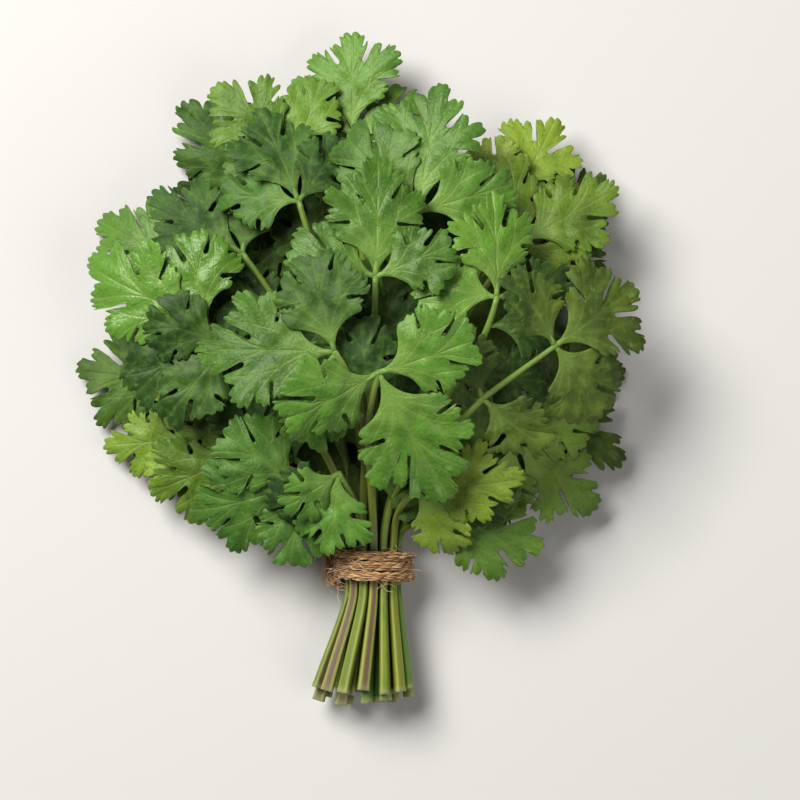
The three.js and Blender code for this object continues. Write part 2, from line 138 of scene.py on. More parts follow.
# How far from its hub a blade, as a share of its length: could touch another, is taken to cover the
# table for certain, does so if it is an inner blade, and could touch if it is an inner blade.
REACHES = {"touch": 0.5, "cover": 0.27, "inner_cover": 0.44, "inner_touch": 0.52}
INSIDE_FROM = 22  # gaps nearer to the twine than this stay open
INNER = {
    "most": 210, "least": 5, "turns": (-100, -60, -25, 25, 60, 100), "turn_varies": 12, "clear": 26,
    "size": 22, "grows": 8, "stalk": 0.24, "share": 0.6, "lift": 14, "room": 1.3, "clash": 0.2,
    "lowest": 1}
INNER_STEPS = range(6, 19)  # the twentieths of its stem's line that an inner blade may grow at
INNER_SHADE = -0.85  # how light they are: painted shade, for the shade that they lie in inside the bunch

# ---- Blades kept off each other ----
FINE = 0.9  # size of the cells in which blades are compared
ROOM = 0.3  # gap that a blade keeps to the next
DEEPEST = 4.0  # overlaps deeper than this stay
SPREAD = 7  # how many cells a shift fades over
ROOTED = (2.5, 9)  # distance from its root over which a blade starts to shift

# ---- Stalks and twine ----
STALK_FOOT = (1.14, 1.05)  # how much wider than its plain radius a stalk is at its cut
HOLLOW = 1.5  # how far a cut end is dished
# A stalk's groove: its half width, its lips, the fine ribs on the rest of the stalk and how far
# round they start, in radians.
GROOVE_FORM = {"half": 0.75, "lip_at": 1.05, "lip_half": 0.22, "lip": 0.10, "ribs": 9, "ribs_from": 1.3}
GROOVE_SKIN = {"half": 0.72, "lip_at": 1.0, "lip_half": 0.25}
# A ply of the twine: its radius and how far it lies from the middle, as shares of the twine's
# radius, and how uneven it is and how thick its core is, as shares of its own.
PLY = {"radius": 0.5, "out": 0.47, "uneven": 0.06, "core": 0.86}

# ---- Skins ----
# How strongly each part of a blade's skin shows its colour: its own colour, and for the rim partly
# a painted highlight where the margin catches the light.
LEAF_SHOWS = {
    "spots": 0.38, "flecks": 0.42, "band": 0.48, "foot": 0.6, "vein": 0.26, "under": 0.35, "rim": 0.5}
COOL = (0.78, 1.0, 1.25, 1.0)  # what bluish leaves are multiplied by
VEIN = (0.004, 0.014)  # half widths of a rib's line, as shares of the blade's length
BAND = 0.07  # half width of the paler band along a rib
LATE_RIB = 0.1  # ribs that start past this share of the length are faded in
CALM = (-0.9, 0.2)  # tones from which, and up to which, a leaf's skin shows more of its bumps
# How strongly each part of a stalk's skin shows its own colour.
STALK_SHOWS = {
    "high": 0.5, "pale_lines": 0.3, "dark_lines": 0.35, "channel": 0.95, "cut": 0.65, "crown": 0.7}

# ---- Stage ----
# A square light: where it hangs, how wide it is, its share of the key light's power and its colour.
Lamp = namedtuple("Lamp", "name place size power tone")
LAMPS = (
    Lamp("key", (-750, 850, 1350), 900, 1.0, (1.0, 0.985, 0.95)),
    Lamp("fill", (900, -500, 1100), 1100, 0.14, (1.0, 0.99, 0.96)),
)
LIT = (0, 60, 0)  # where the lights point
SURROUND = (1, 1, 0.97, 1)
FLOOR_HALF = 3000
SENSOR = 36
# The middle and the width of what the camera sees, and the height at which it is that wide.
VIEW = {"x": 9.45, "y": 60.55, "across": 280, "level": 40}

# ---- Leafy stems ----
Spray = namedtuple(
    "Spray", "x y turn size spread rachis lift hands tone lime gloss shades",
    defaults=(0, 0, (1, -1), 0.0, 0.0, 0.0, (0, 0, 0)))

# Each leafy stem, row by row from the table up: where its leaf branches, which way it points, the
# length of its end blade, how far the side blades turn away, the rachis to a second pair, how much
# it is tipped up, which sides carry a blade, how light, how yellow and how shiny it is, and how
# much lighter its left, its right and its end blade are. How light a blade is, and how much lighter,
# is partly its own tone and partly painted light and shade, as the light falls on it in the bunch;
# the yellower green of the stems on the right is partly a painted warm reflection in their shade.
SPRAYS = (
    Spray(-52, 64, 172, 35, 62, rachis=14, tone=-0.65, lime=0.15),
    Spray(-34, 122, 126, 35, 60, rachis=13, tone=-0.6),
    Spray(16, 100, 74, 35, 60, tone=-0.3),
    Spray(42, 66, 4, 31, 64, rachis=12, tone=-0.6, lime=0.9),
    Spray(-66, 47, 186, 25, 60, tone=0.7, lime=0.45),
    Spray(-50, 96, 148, 34, 56, rachis=14, tone=0.1, gloss=0.2),
    Spray(-10, 112, 98, 35, 60, tone=0.4, lime=-0.3),
    Spray(46, 108, 40, 32, 60, rachis=12, tone=-0.5, lime=0.8),
    Spray(54, 60, -30, 32, 60, tone=-0.7, lime=0.8),
    Spray(-46, 42, 205, 32, 62, tone=0.05, lime=0.5),
    Spray(-46, 112, 146, 33, 54, tone=-0.35, lime=-0.4),
    Spray(-27, 148, 140, 32, 60, tone=0.2, lime=0.25, shades=(-0.5, 0, 0)),
    Spray(-7, 155, 92, 32, 60, tone=0.6, gloss=0.2),
    Spray(50, 132, 62, 28, 62, tone=0.8, lime=0.7),
    Spray(50, 45, -38, 31, 60, tone=0.1, lime=0.45),
    Spray(-26, 31, 198, 34, 58, tone=-0.2, lime=-0.6),
    Spray(-28, 40, 150, 28, 64, tone=-0.3, lime=-0.5),
    Spray(-26, 130, 112, 31, 58, tone=-0.5, lime=-0.6),
    Spray(16, 126, 82, 39, 60, tone=0.15, lime=-0.2, gloss=0.3),
    Spray(52, 116, 30, 31, 62, tone=0.1, lime=0.75),
    Spray(20, 19, -14, 34, 58, hands=(1,), tone=0.0, lime=0.1),
    Spray(-58, 87, 156, 38, 60, tone=0.6, gloss=1.1, shades=(-1.25, -0.4, 0.35)),
    Spray(-13, 77, 178, 38, 68, gloss=0.2, shades=(0, -0.6, -0.2)),
    Spray(1, 103, 88, 34, 64, tone=0.35, lime=-0.2, gloss=0.5),
    Spray(43, 96, 90, 31, 76, tone=0.7, gloss=0.8, shades=(0.4, -1.4, 0.5)),
    Spray(15, 29, 4, 30, 66, hands=(-1,), tone=0.6, lime=0.6),
    Spray(-12, 35, -97, 26, 50, lift=10, hands=(-1,), tone=0.5, lime=-0.3),
    Spray(2, 70, -62, 42, 84, lift=10, tone=0.15, lime=-0.2, gloss=0.4, shades=(0.4, 0.6, 0)),
    Spray(38, 61, 36, 34, 80, rachis=31, tone=-0.6, lime=0.85, gloss=0.2),
)
YOUNG = (5, 14, 26)  # the stems with young leaves, which have a yellower skin of their own


def chance(i, k):
    """A repeatable number from 0 to 1 for blade or stem i and purpose k."""
    wave = math.sin(i * 12.9898 + k * 78.233) * 43758.5453
    return wave - math.floor(wave)


def vary(i, k, amount):
    """A repeatable number from -amount to amount."""
    return (2 * chance(i, k) - 1) * amount


def strewn(i, purposes):
    """A random way and length, up to 1 along each axis."""
    return np.array([vary(i, k, 1) for k in purposes])


# What a random draw is for, which chance and vary take as k.
PITCH, ROLL, CUPPED, TURN, SIZED, LOBE, SLIT, CUT_X, CUT_Y = 1, 2, 3, 4, 5, 10, 20, 30, 31
CURL, TWIST, KEEL, RUFFLE, SLIT_DEPTH, TEETH = 40, 50, 55, 60, 70, 80
TINT, WAVE, GROOVE, BARK = 90, 91, 92, 93
SLIT_TURN, SINUS_DEPTH, PART_TURN = SLIT + 5, SLIT_DEPTH + 15, SLIT_DEPTH + 20
SINUS_WIDE, SINUS_EYE, SHALLOW = SLIT_DEPTH + 30, SLIT_DEPTH + 35, SLIT_DEPTH + 40
THREAD = {"turn": 111, "drift": 112, "swell": 113, "thick": 114, "thicken": 115, "tone": 116}
FIBRE = {
    "at": 101, "turn": 102, "way": 103, "long": 104, "away": 105, "stray": (106, 107, 108),
    "thick": 109, "bend": (117, 118, 119), "tone": 120}


def place_of(number):
    """The row and the column in its row of a stem, and its row's share of the heap's height."""
    before = 0
    for row, count in enumerate(ROW_COUNTS):
        if number <= before + count:
            return row, number - before - 1, (row + 0.35) / (len(ROW_COUNTS) - 0.5)
        before += count
    raise ValueError(f"no stem has number {number}")


def heap_height(x, y, share):
    """How high a leaf lies at a place, when its row has that share of the heap's height."""
    away = ((x - HEAP["x"]) / HEAP["across"]) ** 2 + ((y - HEAP["y"]) / HEAP["along"]) ** 2
    heap = HEAP["foot"] + HEAP["height"] * share * max(HEAP["rim"], 1 - away) ** HEAP["fullness"]
    neck = TIE_HEIGHT + (share - 0.5) * ROW_STEP * len(ROW_COUNTS)
    near = min(1, math.hypot(x, y) / NECK)
    return neck + (heap - neck) * near * near * (3 - 2 * near)


def heap_slope(x, y, share, heading):
    """How steeply the heap rises towards heading, as an angle."""
    step = 4
    dx, dy = step * math.cos(heading), step * math.sin(heading)
    return math.atan2(heap_height(x + dx, y + dy, share) - heap_height(x - dx, y - dy, share), 2 * step)


class Blade:
    """One cut blade of a leaf: it starts at root, points to heading and lies on the heap."""

    def __init__(self, ident, root, heading, size, stalk, share, lift, kind):
        self.id, self.root, self.size, self.stalk, self.kind = ident, root.copy(), size, stalk, kind
        # How light the blade is painted: inner blades keep the painted shade of the bunch's inside, the
        # others are given theirs by their leaf.
        self.shade = INNER_SHADE
        x, y = root.x + size * 0.5 * math.cos(heading), root.y + size * 0.5 * math.sin(heading)
        most = math.radians(LIE["steepest"])
        tip = math.radians(lift + LIE["tip_up"] + vary(ident, PITCH, LIE["pitch"]))
        lean = math.radians(vary(ident, ROLL, LIE["roll"]))
        slope = heap_slope(x, y, share, heading) * LIE["follows"]
        side_slope = heap_slope(x, y, share, heading + math.pi / 2) * LIE["follows"]
        pitch = max(-most, min(most, slope + tip))
        roll = max(-most, min(most, side_slope + lean))
        self.axis = Vector((
            math.cos(heading) * math.cos(pitch), math.sin(heading) * math.cos(pitch), math.sin(pitch)))
        side = Vector((-math.sin(heading), math.cos(heading), 0)) * math.cos(roll)
        side.z = math.sin(roll)
        self.side = (side - self.axis * side.dot(self.axis)).normalized()
        self.normal = self.axis.cross(self.side)
        self.cup = CUP[0] + vary(ident, CUPPED, CUP[1])

    @property
    def base(self):
        return self.root + self.axis * self.stalk

    def points(self, along, across, above):
        """Where points of the blade lie: along and across are shares of its length."""
        bend = (-DROOP * np.maximum(along, 0) ** 2 + self.cup * across ** 2) * self.size + above
        parts = ((self.axis, along * self.size), (self.side, across * self.size), (self.normal, bend))
        return np.array(self.base) + sum(np.outer(amount, np.array(way)) for way, amount in parts)


class Leaf:
    """A leaf whose forks and blades lie at the height that its solid has."""

    def __init__(self, number):
        plan = SPRAYS[number - 1]
        self.number, self.plan = number, plan
        _, _, share = place_of(number)
        heading = math.radians(plan.turn)
        slope = heap_slope(plan.x, plan.y, share, heading) * LIE["rachis"]
        fork = Vector((plan.x, plan.y, 0))
        ahead = Vector((math.cos(heading), math.sin(heading), math.tan(slope)))
        self.forks = [fork, fork + ahead * plan.rachis] if plan.rachis else [fork]
        self.blades = []
        for pair, place in enumerate(self.forks):
            scale = SIDE_BLADE["lower" if pair < len(self.forks) - 1 else "size"]
            for hand in plan.hands:
                ident = number * 10 + len(self.blades)
                away = math.radians(plan.spread + vary(ident, TURN, SIDE_BLADE["turn_varies"]))
                size = plan.size * scale * (1 + vary(ident, SIZED, SIDE_BLADE["size_varies"]))
                self.add(ident, place, heading + hand * away, size, SIDE_BLADE["stalk"], share, "side")
                self.blades[-1].shade = plan.tone + plan.shades[0 if hand > 0 else 1]
        ident = number * 10 + len(self.blades)
        self.add(ident, self.forks[-1], heading, plan.size, END_STALK, share, "end")
        self.blades[-1].shade = plan.tone + plan.shades[2]
        self.settle()

    def add(self, ident, root, heading, size, stalk, share, kind):
        plan = self.plan
        self.blades.append(Blade(ident, root, heading, size, stalk * plan.size, share, plan.lift, kind))

    def settle(self):
        """Moves the leaf up to the height of its solid, read where its blades' ribs meet."""
        corners = node_points(f"leaf_{self.number:02d}")
        rises = []
        for blade in self.blades:
            hub = blade.points(np.array([HUB]), np.array([0.0]), np.array([SOLID_THICKNESS / 2]))[0]
            gaps = np.hypot(corners[:, 0] - hub[0], corners[:, 1] - hub[1])
            rises.append((corners[gaps < gaps.min() + 0.05, 2] - hub[2]).max())
        rise = float(np.median(rises))
        for part in self.forks + [blade.root for blade in self.blades]:
            part.z += rise
        self.line = rising_line(self.number, self.forks[0], arch_of(self.number, self.forks[0]))


def node_points(name):
    """The corners of a solid, in millimetres."""
    return corners_of(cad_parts[name].data) / MM


# ---- Lines ----
def bezier(points, count):
    """count + 1 points along a cubic Bezier."""
    t = np.linspace(0, 1, count + 1)[:, None]
    a, b, c, d = (np.array(p) for p in points)
    return a * (1 - t) ** 3 + 3 * b * t * (1 - t) ** 2 + 3 * c * t * t * (1 - t) + d * t ** 3


def smooth_line(points, each):
    """A Catmull-Rom line through points, each points to a span."""
    knots = [2 * np.array(points[0]) - np.array(points[1]), *map(np.array, points)]
    knots.append(2 * knots[-1] - knots[-2])
    t = np.linspace(0, 1, each, endpoint=False)[:, None]
    spans = []
    for a, b, c, d in zip(knots, knots[1:], knots[2:], knots[3:]):
        spans.append(0.5 * (2 * b + (c - a) * t + (2 * a - 5 * b + 4 * c - d) * t ** 2
                            + (3 * b - a - 3 * c + d) * t ** 3))
    return np.vstack(spans + [knots[-2][None]])


def lengths_along(line):
    """How far along a line each of its points is."""
    return np.concatenate(([0], np.cumsum(np.linalg.norm(np.diff(line, axis=0), axis=1))))


def even_line(line, count):
    """The same line with count + 1 points at even spacing."""
    run = lengths_along(line)
    want = np.linspace(0, run[-1], count + 1)
    return np.column_stack([np.interp(want, run, line[:, k]) for k in range(3)])


def frames_along(line, up=(0, 0, 1)):
    """For each point of a line: the way ahead, a side way and the way over it, all square."""
    ahead = np.gradient(line, axis=0)
    ahead /= np.linalg.norm(ahead, axis=1)[:, None]
    side = np.cross(ahead, up)
    side /= np.linalg.norm(side, axis=1)[:, None]
    return ahead, side, np.cross(side, ahead)


def slot_of(number, along):
    """Where a stem lies in its row, at a distance past the twine's middle."""
    row, column, _ = place_of(number)
    x = (column - (ROW_COUNTS[row] - 1) / 2) * STEM_PITCH
    return Vector((x, along, TIE_HEIGHT + (row - (len(ROW_COUNTS) - 1) / 2) * ROW_STEP))


def rising_line(number, fork, arch, count=60):
    """A stem's line from the twine up to its leaf."""
    slot = slot_of(number, STRAIGHT[1])
    reach = (fork - slot).length
    heading = math.atan2(fork.y - slot.y, fork.x - slot.x)
    end = heading + BEND["turn"] * math.sin(math.radians(SPRAYS[number - 1].turn) - heading)
    leave = Vector((slot.x * BEND["spread"], 1, (slot.z - TIE_HEIGHT) * BEND["lift"])).normalized()
    rise = BEND["rise"] * (fork.z - slot.z) / reach
    arrive = Vector((math.cos(end), math.sin(end), rise)).normalized()
    raised = Vector((0, 0, arch))
    away = slot + leave * reach * BEND["leave"] + raised * BEND["arch"]
    before = fork - arrive * reach * BEND["arrive"] + raised
    return bezier((slot, away, before, fork), count)


def arch_of(number, fork):
    """How far a stem is arched over what lies below it, read from its solid."""
    corners = node_points(f"stem_{number:02d}")
    corners = corners[corners[:, 1] > STRAIGHT[1] + CLEAR_OF_TIE]

    def gap(arch):
        line = rising_line(number, fork, arch)
        away = np.linalg.norm(corners[:, None] - line[None], axis=2).min(axis=1)
        return np.abs(away - STEM_RADIUS["tip"]).mean()

    return min(ARCHES, key=gap)


def stem_line(number, fork, count):
    """The whole line of a stem, cut end first, and how far along it the twine lies."""
    row, _, _ = place_of(number)
    slot = slot_of(number, 0)
    cut = Vector((
        slot.x * CUT["widen"] + CUT["shift"] + vary(number, CUT_X, CUT["vary_x"]),
        -CUT["length"] + vary(number, CUT_Y, CUT["vary_y"]),
        STEM_RADIUS["cut"] + OFF_TABLE + row * CUT["row_step"]))
    below = slot_of(number, STRAIGHT[0])
    lead = slot_of(number, STRAIGHT[0] - CUT["lead"])
    foot = bezier((cut, cut.lerp(below, FOOT_EASE), lead, below), 30)
    rise = rising_line(number, fork, arch_of(number, fork))
    line = np.vstack((foot, rise))
    run = lengths_along(line)
    return even_line(line, count), run[len(foot) - 1] / run[-1]


# ---- Meshes ----
def turned(profile, steps):
    """A closed body turned about Z from a line of (radius, height) points, ends on the axis."""
    bm = bmesh.new()
    line = [bm.verts.new((radius, 0, height)) for radius, height in profile]
    edges = [bm.edges.new(pair) for pair in zip(line, line[1:])]
    bmesh.ops.spin(
        bm, geom=line + edges, cent=(0, 0, 0), axis=(0, 0, 1), angle=2 * math.pi,
        steps=steps, use_merge=True)
    bmesh.ops.remove_doubles(bm, verts=bm.verts, dist=1e-6)
    bmesh.ops.recalc_face_normals(bm, faces=bm.faces)
    for face in bm.faces:
        face.smooth = True
    mesh = bpy.data.meshes.new("turned")
    bm.to_mesh(mesh)
    bm.free()
    return mesh


def corners_of(mesh):
    points = np.empty(len(mesh.vertices) * 3)
    mesh.vertices.foreach_get("co", points)
    return points.reshape(-1, 3)


def shaped(template, points, marks, uv):
    """A copy of template with its vertices moved to points, in millimetres, and marks set on it."""
    mesh = template.copy()
    mesh.vertices.foreach_set("co", (np.asarray(points) * MM).ravel())
    for name, values in marks.items():
        layer = mesh.attributes.new(name, "FLOAT", "POINT")
        layer.data.foreach_set("value", np.broadcast_to(values, len(mesh.vertices)).astype(np.float32))
    loops = np.empty(len(mesh.loops), dtype=np.int64)
    mesh.loops.foreach_get("vertex_index", loops)
    layer = mesh.uv_layers.new(name="surface")
    layer.data.foreach_set("uv", np.asarray(uv)[loops].astype(np.float32).ravel())
    return mesh


def press(mesh):
    """Flattens on the table what would go below it."""
    points = corners_of(mesh)
    points[:, 2] = np.maximum(points[:, 2], 0)
    mesh.vertices.foreach_set("co", points.ravel())
    return mesh


def piece_of(name, meshes, material, nodes):
    """One piece joined from meshes, which stands for the named solids."""
    bm = bmesh.new()
    for mesh in meshes:
        bm.from_mesh(mesh)
    joined = bpy.data.meshes.new(name)
    bm.to_mesh(joined)
    bm.free()
    for mesh in meshes:
        bpy.data.meshes.remove(mesh)
    joined.materials.append(material)
    piece = bpy.data.objects.new(name, joined)
    bpy.context.scene.collection.objects.link(piece)
    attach(piece, "root")
    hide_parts(*nodes)
    return piece


# ---- Blades ----
def rib_gap(along, across):
    """How far points are from the nearest rib, as shares of the blade's length."""
    reach = np.hypot(along + RIB_FOOT, across)
    turn = np.arctan2(np.abs(across), along + RIB_FOOT)
    gap = np.full_like(reach, 9.0)
    for start, gain, begins in RIBS:
        off = np.abs(turn - np.radians(start + gain * reach)) * reach
        gap = np.minimum(gap, off + 3 * np.maximum(0, begins - reach))
    return gap


def between(lobe, following):
    """The turn halfway between two neighbouring lobes."""
    return (lobe.turn - lobe.half + following.turn + following.half) / 2


def sublobes(blade):
    """The parts of a blade's margin between one cut and the next, and the cuts between them."""
    parts, cuts = [], []
    start = BASE_TURN
    shallow = 1 - chance(blade.id, SHALLOW) ** 1.4
    for k, lobe in enumerate(LOBES):
        length = lobe.length * (1 + vary(blade.id, LOBE + k, LOBE_VARIES))
        count = lobe.end_parts if blade.kind == "end" else lobe.parts
        finish = -BASE_TURN
        if k + 1 < len(LOBES):
            finish = between(lobe, LOBES[k + 1]) + vary(blade.id, SLIT_TURN + k, GAPS["turn_varies"])
        bounds = [start]
        for s in range(1, count):
            at = 1 - (2 * s - 1) / (count - 1)
            drift = vary(blade.id, PART_TURN + 3 * k + s, SLITS["turn_varies"])
            bounds.append(lobe.turn + at * lobe.half + drift)
        bounds.append(finish)
        for s, (left, right) in enumerate(zip(bounds, bounds[1:])):
            at = 1 - 2 * s / (count - 1) if count > 1 else 0
            parts.append((left, right, length * (1 - LOBE_FALL * at * at)))
            if s:
                deep = SLITS["deep"] + SLITS["shallow"] * shallow
                deep += vary(blade.id, SLIT_DEPTH + 3 * k + s, SLITS["varies"])
                cuts.append(Cut(left, length * deep, SLITS["wide"], SLITS["closing"], SLITS["eye"]))
        if finish > -BASE_TURN:
            inner = SINUS[0] * (1 + vary(blade.id, SLIT + k, SINUS[1]))
            inner += vary(blade.id, SINUS_DEPTH + k, GAPS["varies"])
            inner += GAPS["shallow"] * shallow + GAPS["deep"]
            wide = GAPS["wide"] + GAPS["widen"] * chance(blade.id, SINUS_WIDE + k)
            eye = GAPS["eye"] + GAPS["eye_grows"] * chance(blade.id, SINUS_EYE + k)
            cuts.append(Cut(finish, inner, wide, GAPS["closing"], eye))
        start = finish
    return parts, cuts


def closed(angle, reach, cuts):
    """Turns round the hub, in degrees, with the mouth of each cut drawn together beyond its eye."""
    centres = [BASE_TURN, *(cut.turn for cut in cuts), -BASE_TURN]
    centres.sort(reverse=True)
    for cut in cuts:
        k = centres.index(cut.turn)
        gap = np.where(angle > cut.turn, centres[k - 1] - cut.turn, cut.turn - centres[k + 1])
        share = np.abs(angle - cut.turn) / gap
        pull = cut.closing * np.clip((reach - cut.inner) / cut.eye, 0, 1) ** 1.3
        moved = share - pull * share * (1 - share)
        angle = np.where(share < 1, cut.turn + np.sign(angle - cut.turn) * moved * gap, angle)
    return angle


def margin_of(blade):
    """The margin of a blade as turns round its hub, in degrees, and reaches, before its cuts close."""
    angle = np.linspace(-180, 180, 2881)
    reach = np.zeros_like(angle)
    parts, cuts = sublobes(blade)
    for k, (left, right, length) in enumerate(parts):
        inside = (angle <= left) & (angle >= right)
        share = np.clip((angle - right) / (left - right), 0, 1)
        teeth = max(1, round(blade.size * length * math.radians(left - right) / TOOTH["pitch"]))
        lean = TOOTH["lean"] * math.sin(math.radians(left + right) / 2)
        warped = np.clip(share + lean * share * (1 - share), 0, 1)
        crest = np.abs(np.sin(np.pi * teeth * warped)) ** TOOTH["blunt"]
        ripple = 1 + TOOTH["ripple"] * np.sin(4.7 * share * teeth + blade.id + k)
        size = (TOOTH["height"] + vary(blade.id, TEETH + k, TOOTH["varies"])) * ripple
        swell = 1 - (PART_SWELL[0] + PART_SWELL[1] * teeth) * (2 * share - 1) ** 2
        reach = np.where(inside, length * swell + size / blade.size * (crest - 0.8), reach)
    for cut in cuts:
        off = np.abs(angle - cut.turn) / math.degrees(cut.wide / (blade.size * cut.inner))
        end = cut.inner + cut.wide * SLIT_END / blade.size * (1 - np.sqrt(np.clip(1 - off ** 2, 0, 1)))
        reach = np.where(off < 1, np.minimum(reach, end), reach)
    for hand in (1, -1):
        edge = reach[np.argmin(np.abs(angle - hand * (BASE_TURN - 0.5)))]
        corner = math.radians(BASE_TURN)
        corner = np.array([HUB + edge * math.cos(corner), edge * math.sin(corner)])
        foot = np.array([WEDGE_FOOT[0] * blade.stalk / blade.size, WEDGE_FOOT[1] / blade.size])
        (ahead, moves), (aside, more) = WEDGE_BOW
        bow = np.array([
            ahead + vary(blade.id, WAVE + hand, moves), aside + more * chance(blade.id, WAVE + 5 + hand)])
        t = np.linspace(0, 1, 60)[:, None]
        wedge = corner * (1 - t) ** 2 + 2 * bow * t * (1 - t) + foot * t * t - (HUB, 0)
        turns = np.degrees(np.arctan2(wedge[:, 1], wedge[:, 0]))
        base = np.interp(np.abs(angle), turns, np.hypot(wedge[:, 0], wedge[:, 1]))
        reach = np.where(hand * angle > BASE_TURN, base, reach)
    return angle, reach, cuts


def around(angle, reach):
    """Places round the hub, of turns in degrees and reaches."""
    return reach * np.cos(np.radians(angle)), reach * np.sin(np.radians(angle))


def outline(blade, count):
    """count points of a blade's margin, closer where it bends, as turns and reaches, and its cuts."""
    angle, reach, cuts = margin_of(blade)
    x, y = around(closed(angle, reach, cuts), reach)
    step = np.hypot(np.diff(x), np.diff(y))
    run = np.concatenate(([0], np.cumsum(0.35 / len(step) + 0.65 * step / step.sum())))
    want = (np.arange(count) + 0.5) / count * run[-1]
    return np.interp(want, run, angle), np.interp(want, run, reach), cuts


class Disc:
    """A closed disc of two faces that meet in a thin margin, which blades are shaped from."""

    def __init__(self, sectors):
        self.sectors = sectors
        self.rim = len(HUB_RINGS) + len(RING_SHARES) + 1
        rings = [*range(self.rim + 2), *range(self.rim, 0, -2), 0]
        self.mesh = turned([(ring, -k) for k, ring in enumerate(rings)], sectors)
        seed = corners_of(self.mesh)
        level = np.rint(-seed[:, 2]).astype(int)
        turn = np.arctan2(seed[:, 1], seed[:, 0]) / (2 * math.pi)
        self.sector = np.rint((turn + 0.5) * sectors).astype(int) % sectors
        self.ring = np.array(rings)[level]
        self.face = np.sign(self.rim + 1 - level)

    def spread(self, blade):
        """Turns, reaches and places round a blade's hub for every vertex."""
        angle, reach, cuts = outline(blade, self.sectors)
        window = max(3, self.sectors // 24)
        padded = np.concatenate((angle[-window:] - 360, angle, angle[:window] + 360))
        spoke = np.convolve(padded, np.ones(2 * window + 1) / (2 * window + 1), "valid")
        start_x, start_y = around(np.maximum.accumulate(spoke), HUB_RINGS[-1])
        x, y = around(angle, reach)
        long = np.hypot(x - start_x, y - start_y)
        rim = np.clip(1 - EDGE["width"] / (blade.size * long), EDGE["least"], EDGE["most"])
        shares = np.array([0, 0, 0, *RING_SHARES, 1, 1])[self.ring]
        shares = np.where(self.ring > self.rim, 1, shares * rim[self.sector])
        grown = np.array([0, HUB_RINGS[0] / HUB_RINGS[1]] + [1] * self.rim)[self.ring]
        px = (start_x[self.sector] + (x - start_x)[self.sector] * shares) * grown
        py = (start_y[self.sector] + (y - start_y)[self.sector] * shares) * grown
        turn, far = np.degrees(np.arctan2(py, px)), np.hypot(px, py)
        return turn, far, *around(closed(turn, far, cuts), far)


def blade_relief(blade, turn, far, along, across, look):
    """How far each point stands off a blade's plain face: its ribs, curled lobes and waves."""
    gap = rib_gap(along, across) * blade.size
    relief = -look.rib_depth / MM * np.exp(-gap / (look.rib_width / MM)) * np.clip(along * 6 + 0.4, 0, 1)
    edge = np.clip((far - 0.2) / 0.4, 0, 1.3) * np.clip(along / 0.18, 0, 1)
    lobe = np.zeros(len(turn), dtype=int)
    for pair in zip(LOBES, LOBES[1:]):
        lobe += turn < between(*pair)
    centres = np.array([each.turn for each in LOBES])
    off = np.clip(np.radians(turn - centres[lobe]), -LOBE_HALF, LOBE_HALF)
    curl, twist, keel = (
        np.array([vary(blade.id, kind + k, 1) for k in range(len(LOBES))])[lobe]
        for kind in (CURL, TWIST, KEEL))
    most = look.curl / MM * blade.size / PLAIN_SIZE
    relief += most * (FORM["curl"] * curl - FORM["hang"]) * edge ** 2
    relief += most * (FORM["twist"] * twist * off + FORM["keel"] * keel * off ** 2) * edge ** 1.5
    ripple = np.sin(RIPPLES["broad"] * turn + 6 * chance(blade.id, RUFFLE))
    ripple += RIPPLES["fine_height"] * np.sin(RIPPLES["fine"] * turn + 4 * chance(blade.id, WAVE))
    relief += look.ruffle / MM * ripple * edge ** 2
    wave = np.sin(along * blade.size * WAVES["along"] + 6 * chance(blade.id, WAVE))
    wave = wave * np.cos(across * blade.size * WAVES["across"] + 6 * chance(blade.id, WAVE + 1))
    return relief + look.swell / MM * wave * np.clip(along * 4, 0, 1)


def blade_mesh(blade, disc, look, plan):
    """One blade: its cut margin, ribs sunk in its face, curled lobes and a ruffled edge."""
    turn, far, x, y = disc.spread(blade)
    along, across = HUB + x, y
    half = look.thickness / MM / 2 * disc.face
    points = blade.points(along, across, blade_relief(blade, turn, far, along, across, look) + half)
    points[:, 2] = np.maximum(points[:, 2], half + look.thickness / MM / 2 + OFF_TABLE)
    marks = {
        "under": (1 - disc.face) / 2,
        "rim": disc.face == 0,
        # tone: how light the blade is painted, its painted light and shade with a random tone of its own
        "tone": blade.shade + vary(blade.id, TINT, 0.4),
        "lime": plan.lime + vary(blade.id, TINT + 5, 0.1),
        "pale": 0,
        "gloss": plan.gloss,
    }
    return shaped(disc.mesh, points, marks, np.column_stack((along, across)))


def rod_template(sides, steps):
    """A closed rod whose heights number its rings, from its first end's middle to its last's."""
    profile = [(0, 0), (0.45, 1), (0.6, 2), (0.93, 3)] + [(1, k + 4) for k in range(steps)]
    profile += [(0.6, steps + 4), (0, steps + 5)]
    return turned(profile, sides)


def rod_mesh(template, line, radius, marks, flat=1.0, section=None, hollow=0.0, up=(0, 0, 1)):
    """A rod laid along a line. radius is given for each point of the line, flat squashes it."""
    seed = corners_of(template)
    level = np.rint(seed[:, 2]).astype(int)
    steps = level.max() - 5
    step = np.clip(level - 4, 0, steps - 1)
    turn = np.arctan2(seed[:, 1], seed[:, 0])
    width = np.hypot(seed[:, 0], seed[:, 1])
    line = even_line(line, steps - 1)
    ahead, side, over = frames_along(line, up)
    run = lengths_along(line)
    size = np.interp(run, np.linspace(0, run[-1], len(radius)), radius)[step] * width
    if section is not None:
        size = size * section(turn, run[step] / run[-1])
    x, y = np.cos(turn) * size, np.sin(turn) * size
    points = line[step] + over[step] * x[:, None] * flat + side[step] * (y / flat)[:, None]
    points[level < 2] += ahead[0] * hollow
    full = {
        name: value(turn, run[step] / run[-1]) if callable(value) else value
        for name, value in marks.items()}
    uv = np.column_stack((run[step], turn / (2 * math.pi)))
    return shaped(template, points, full, uv)


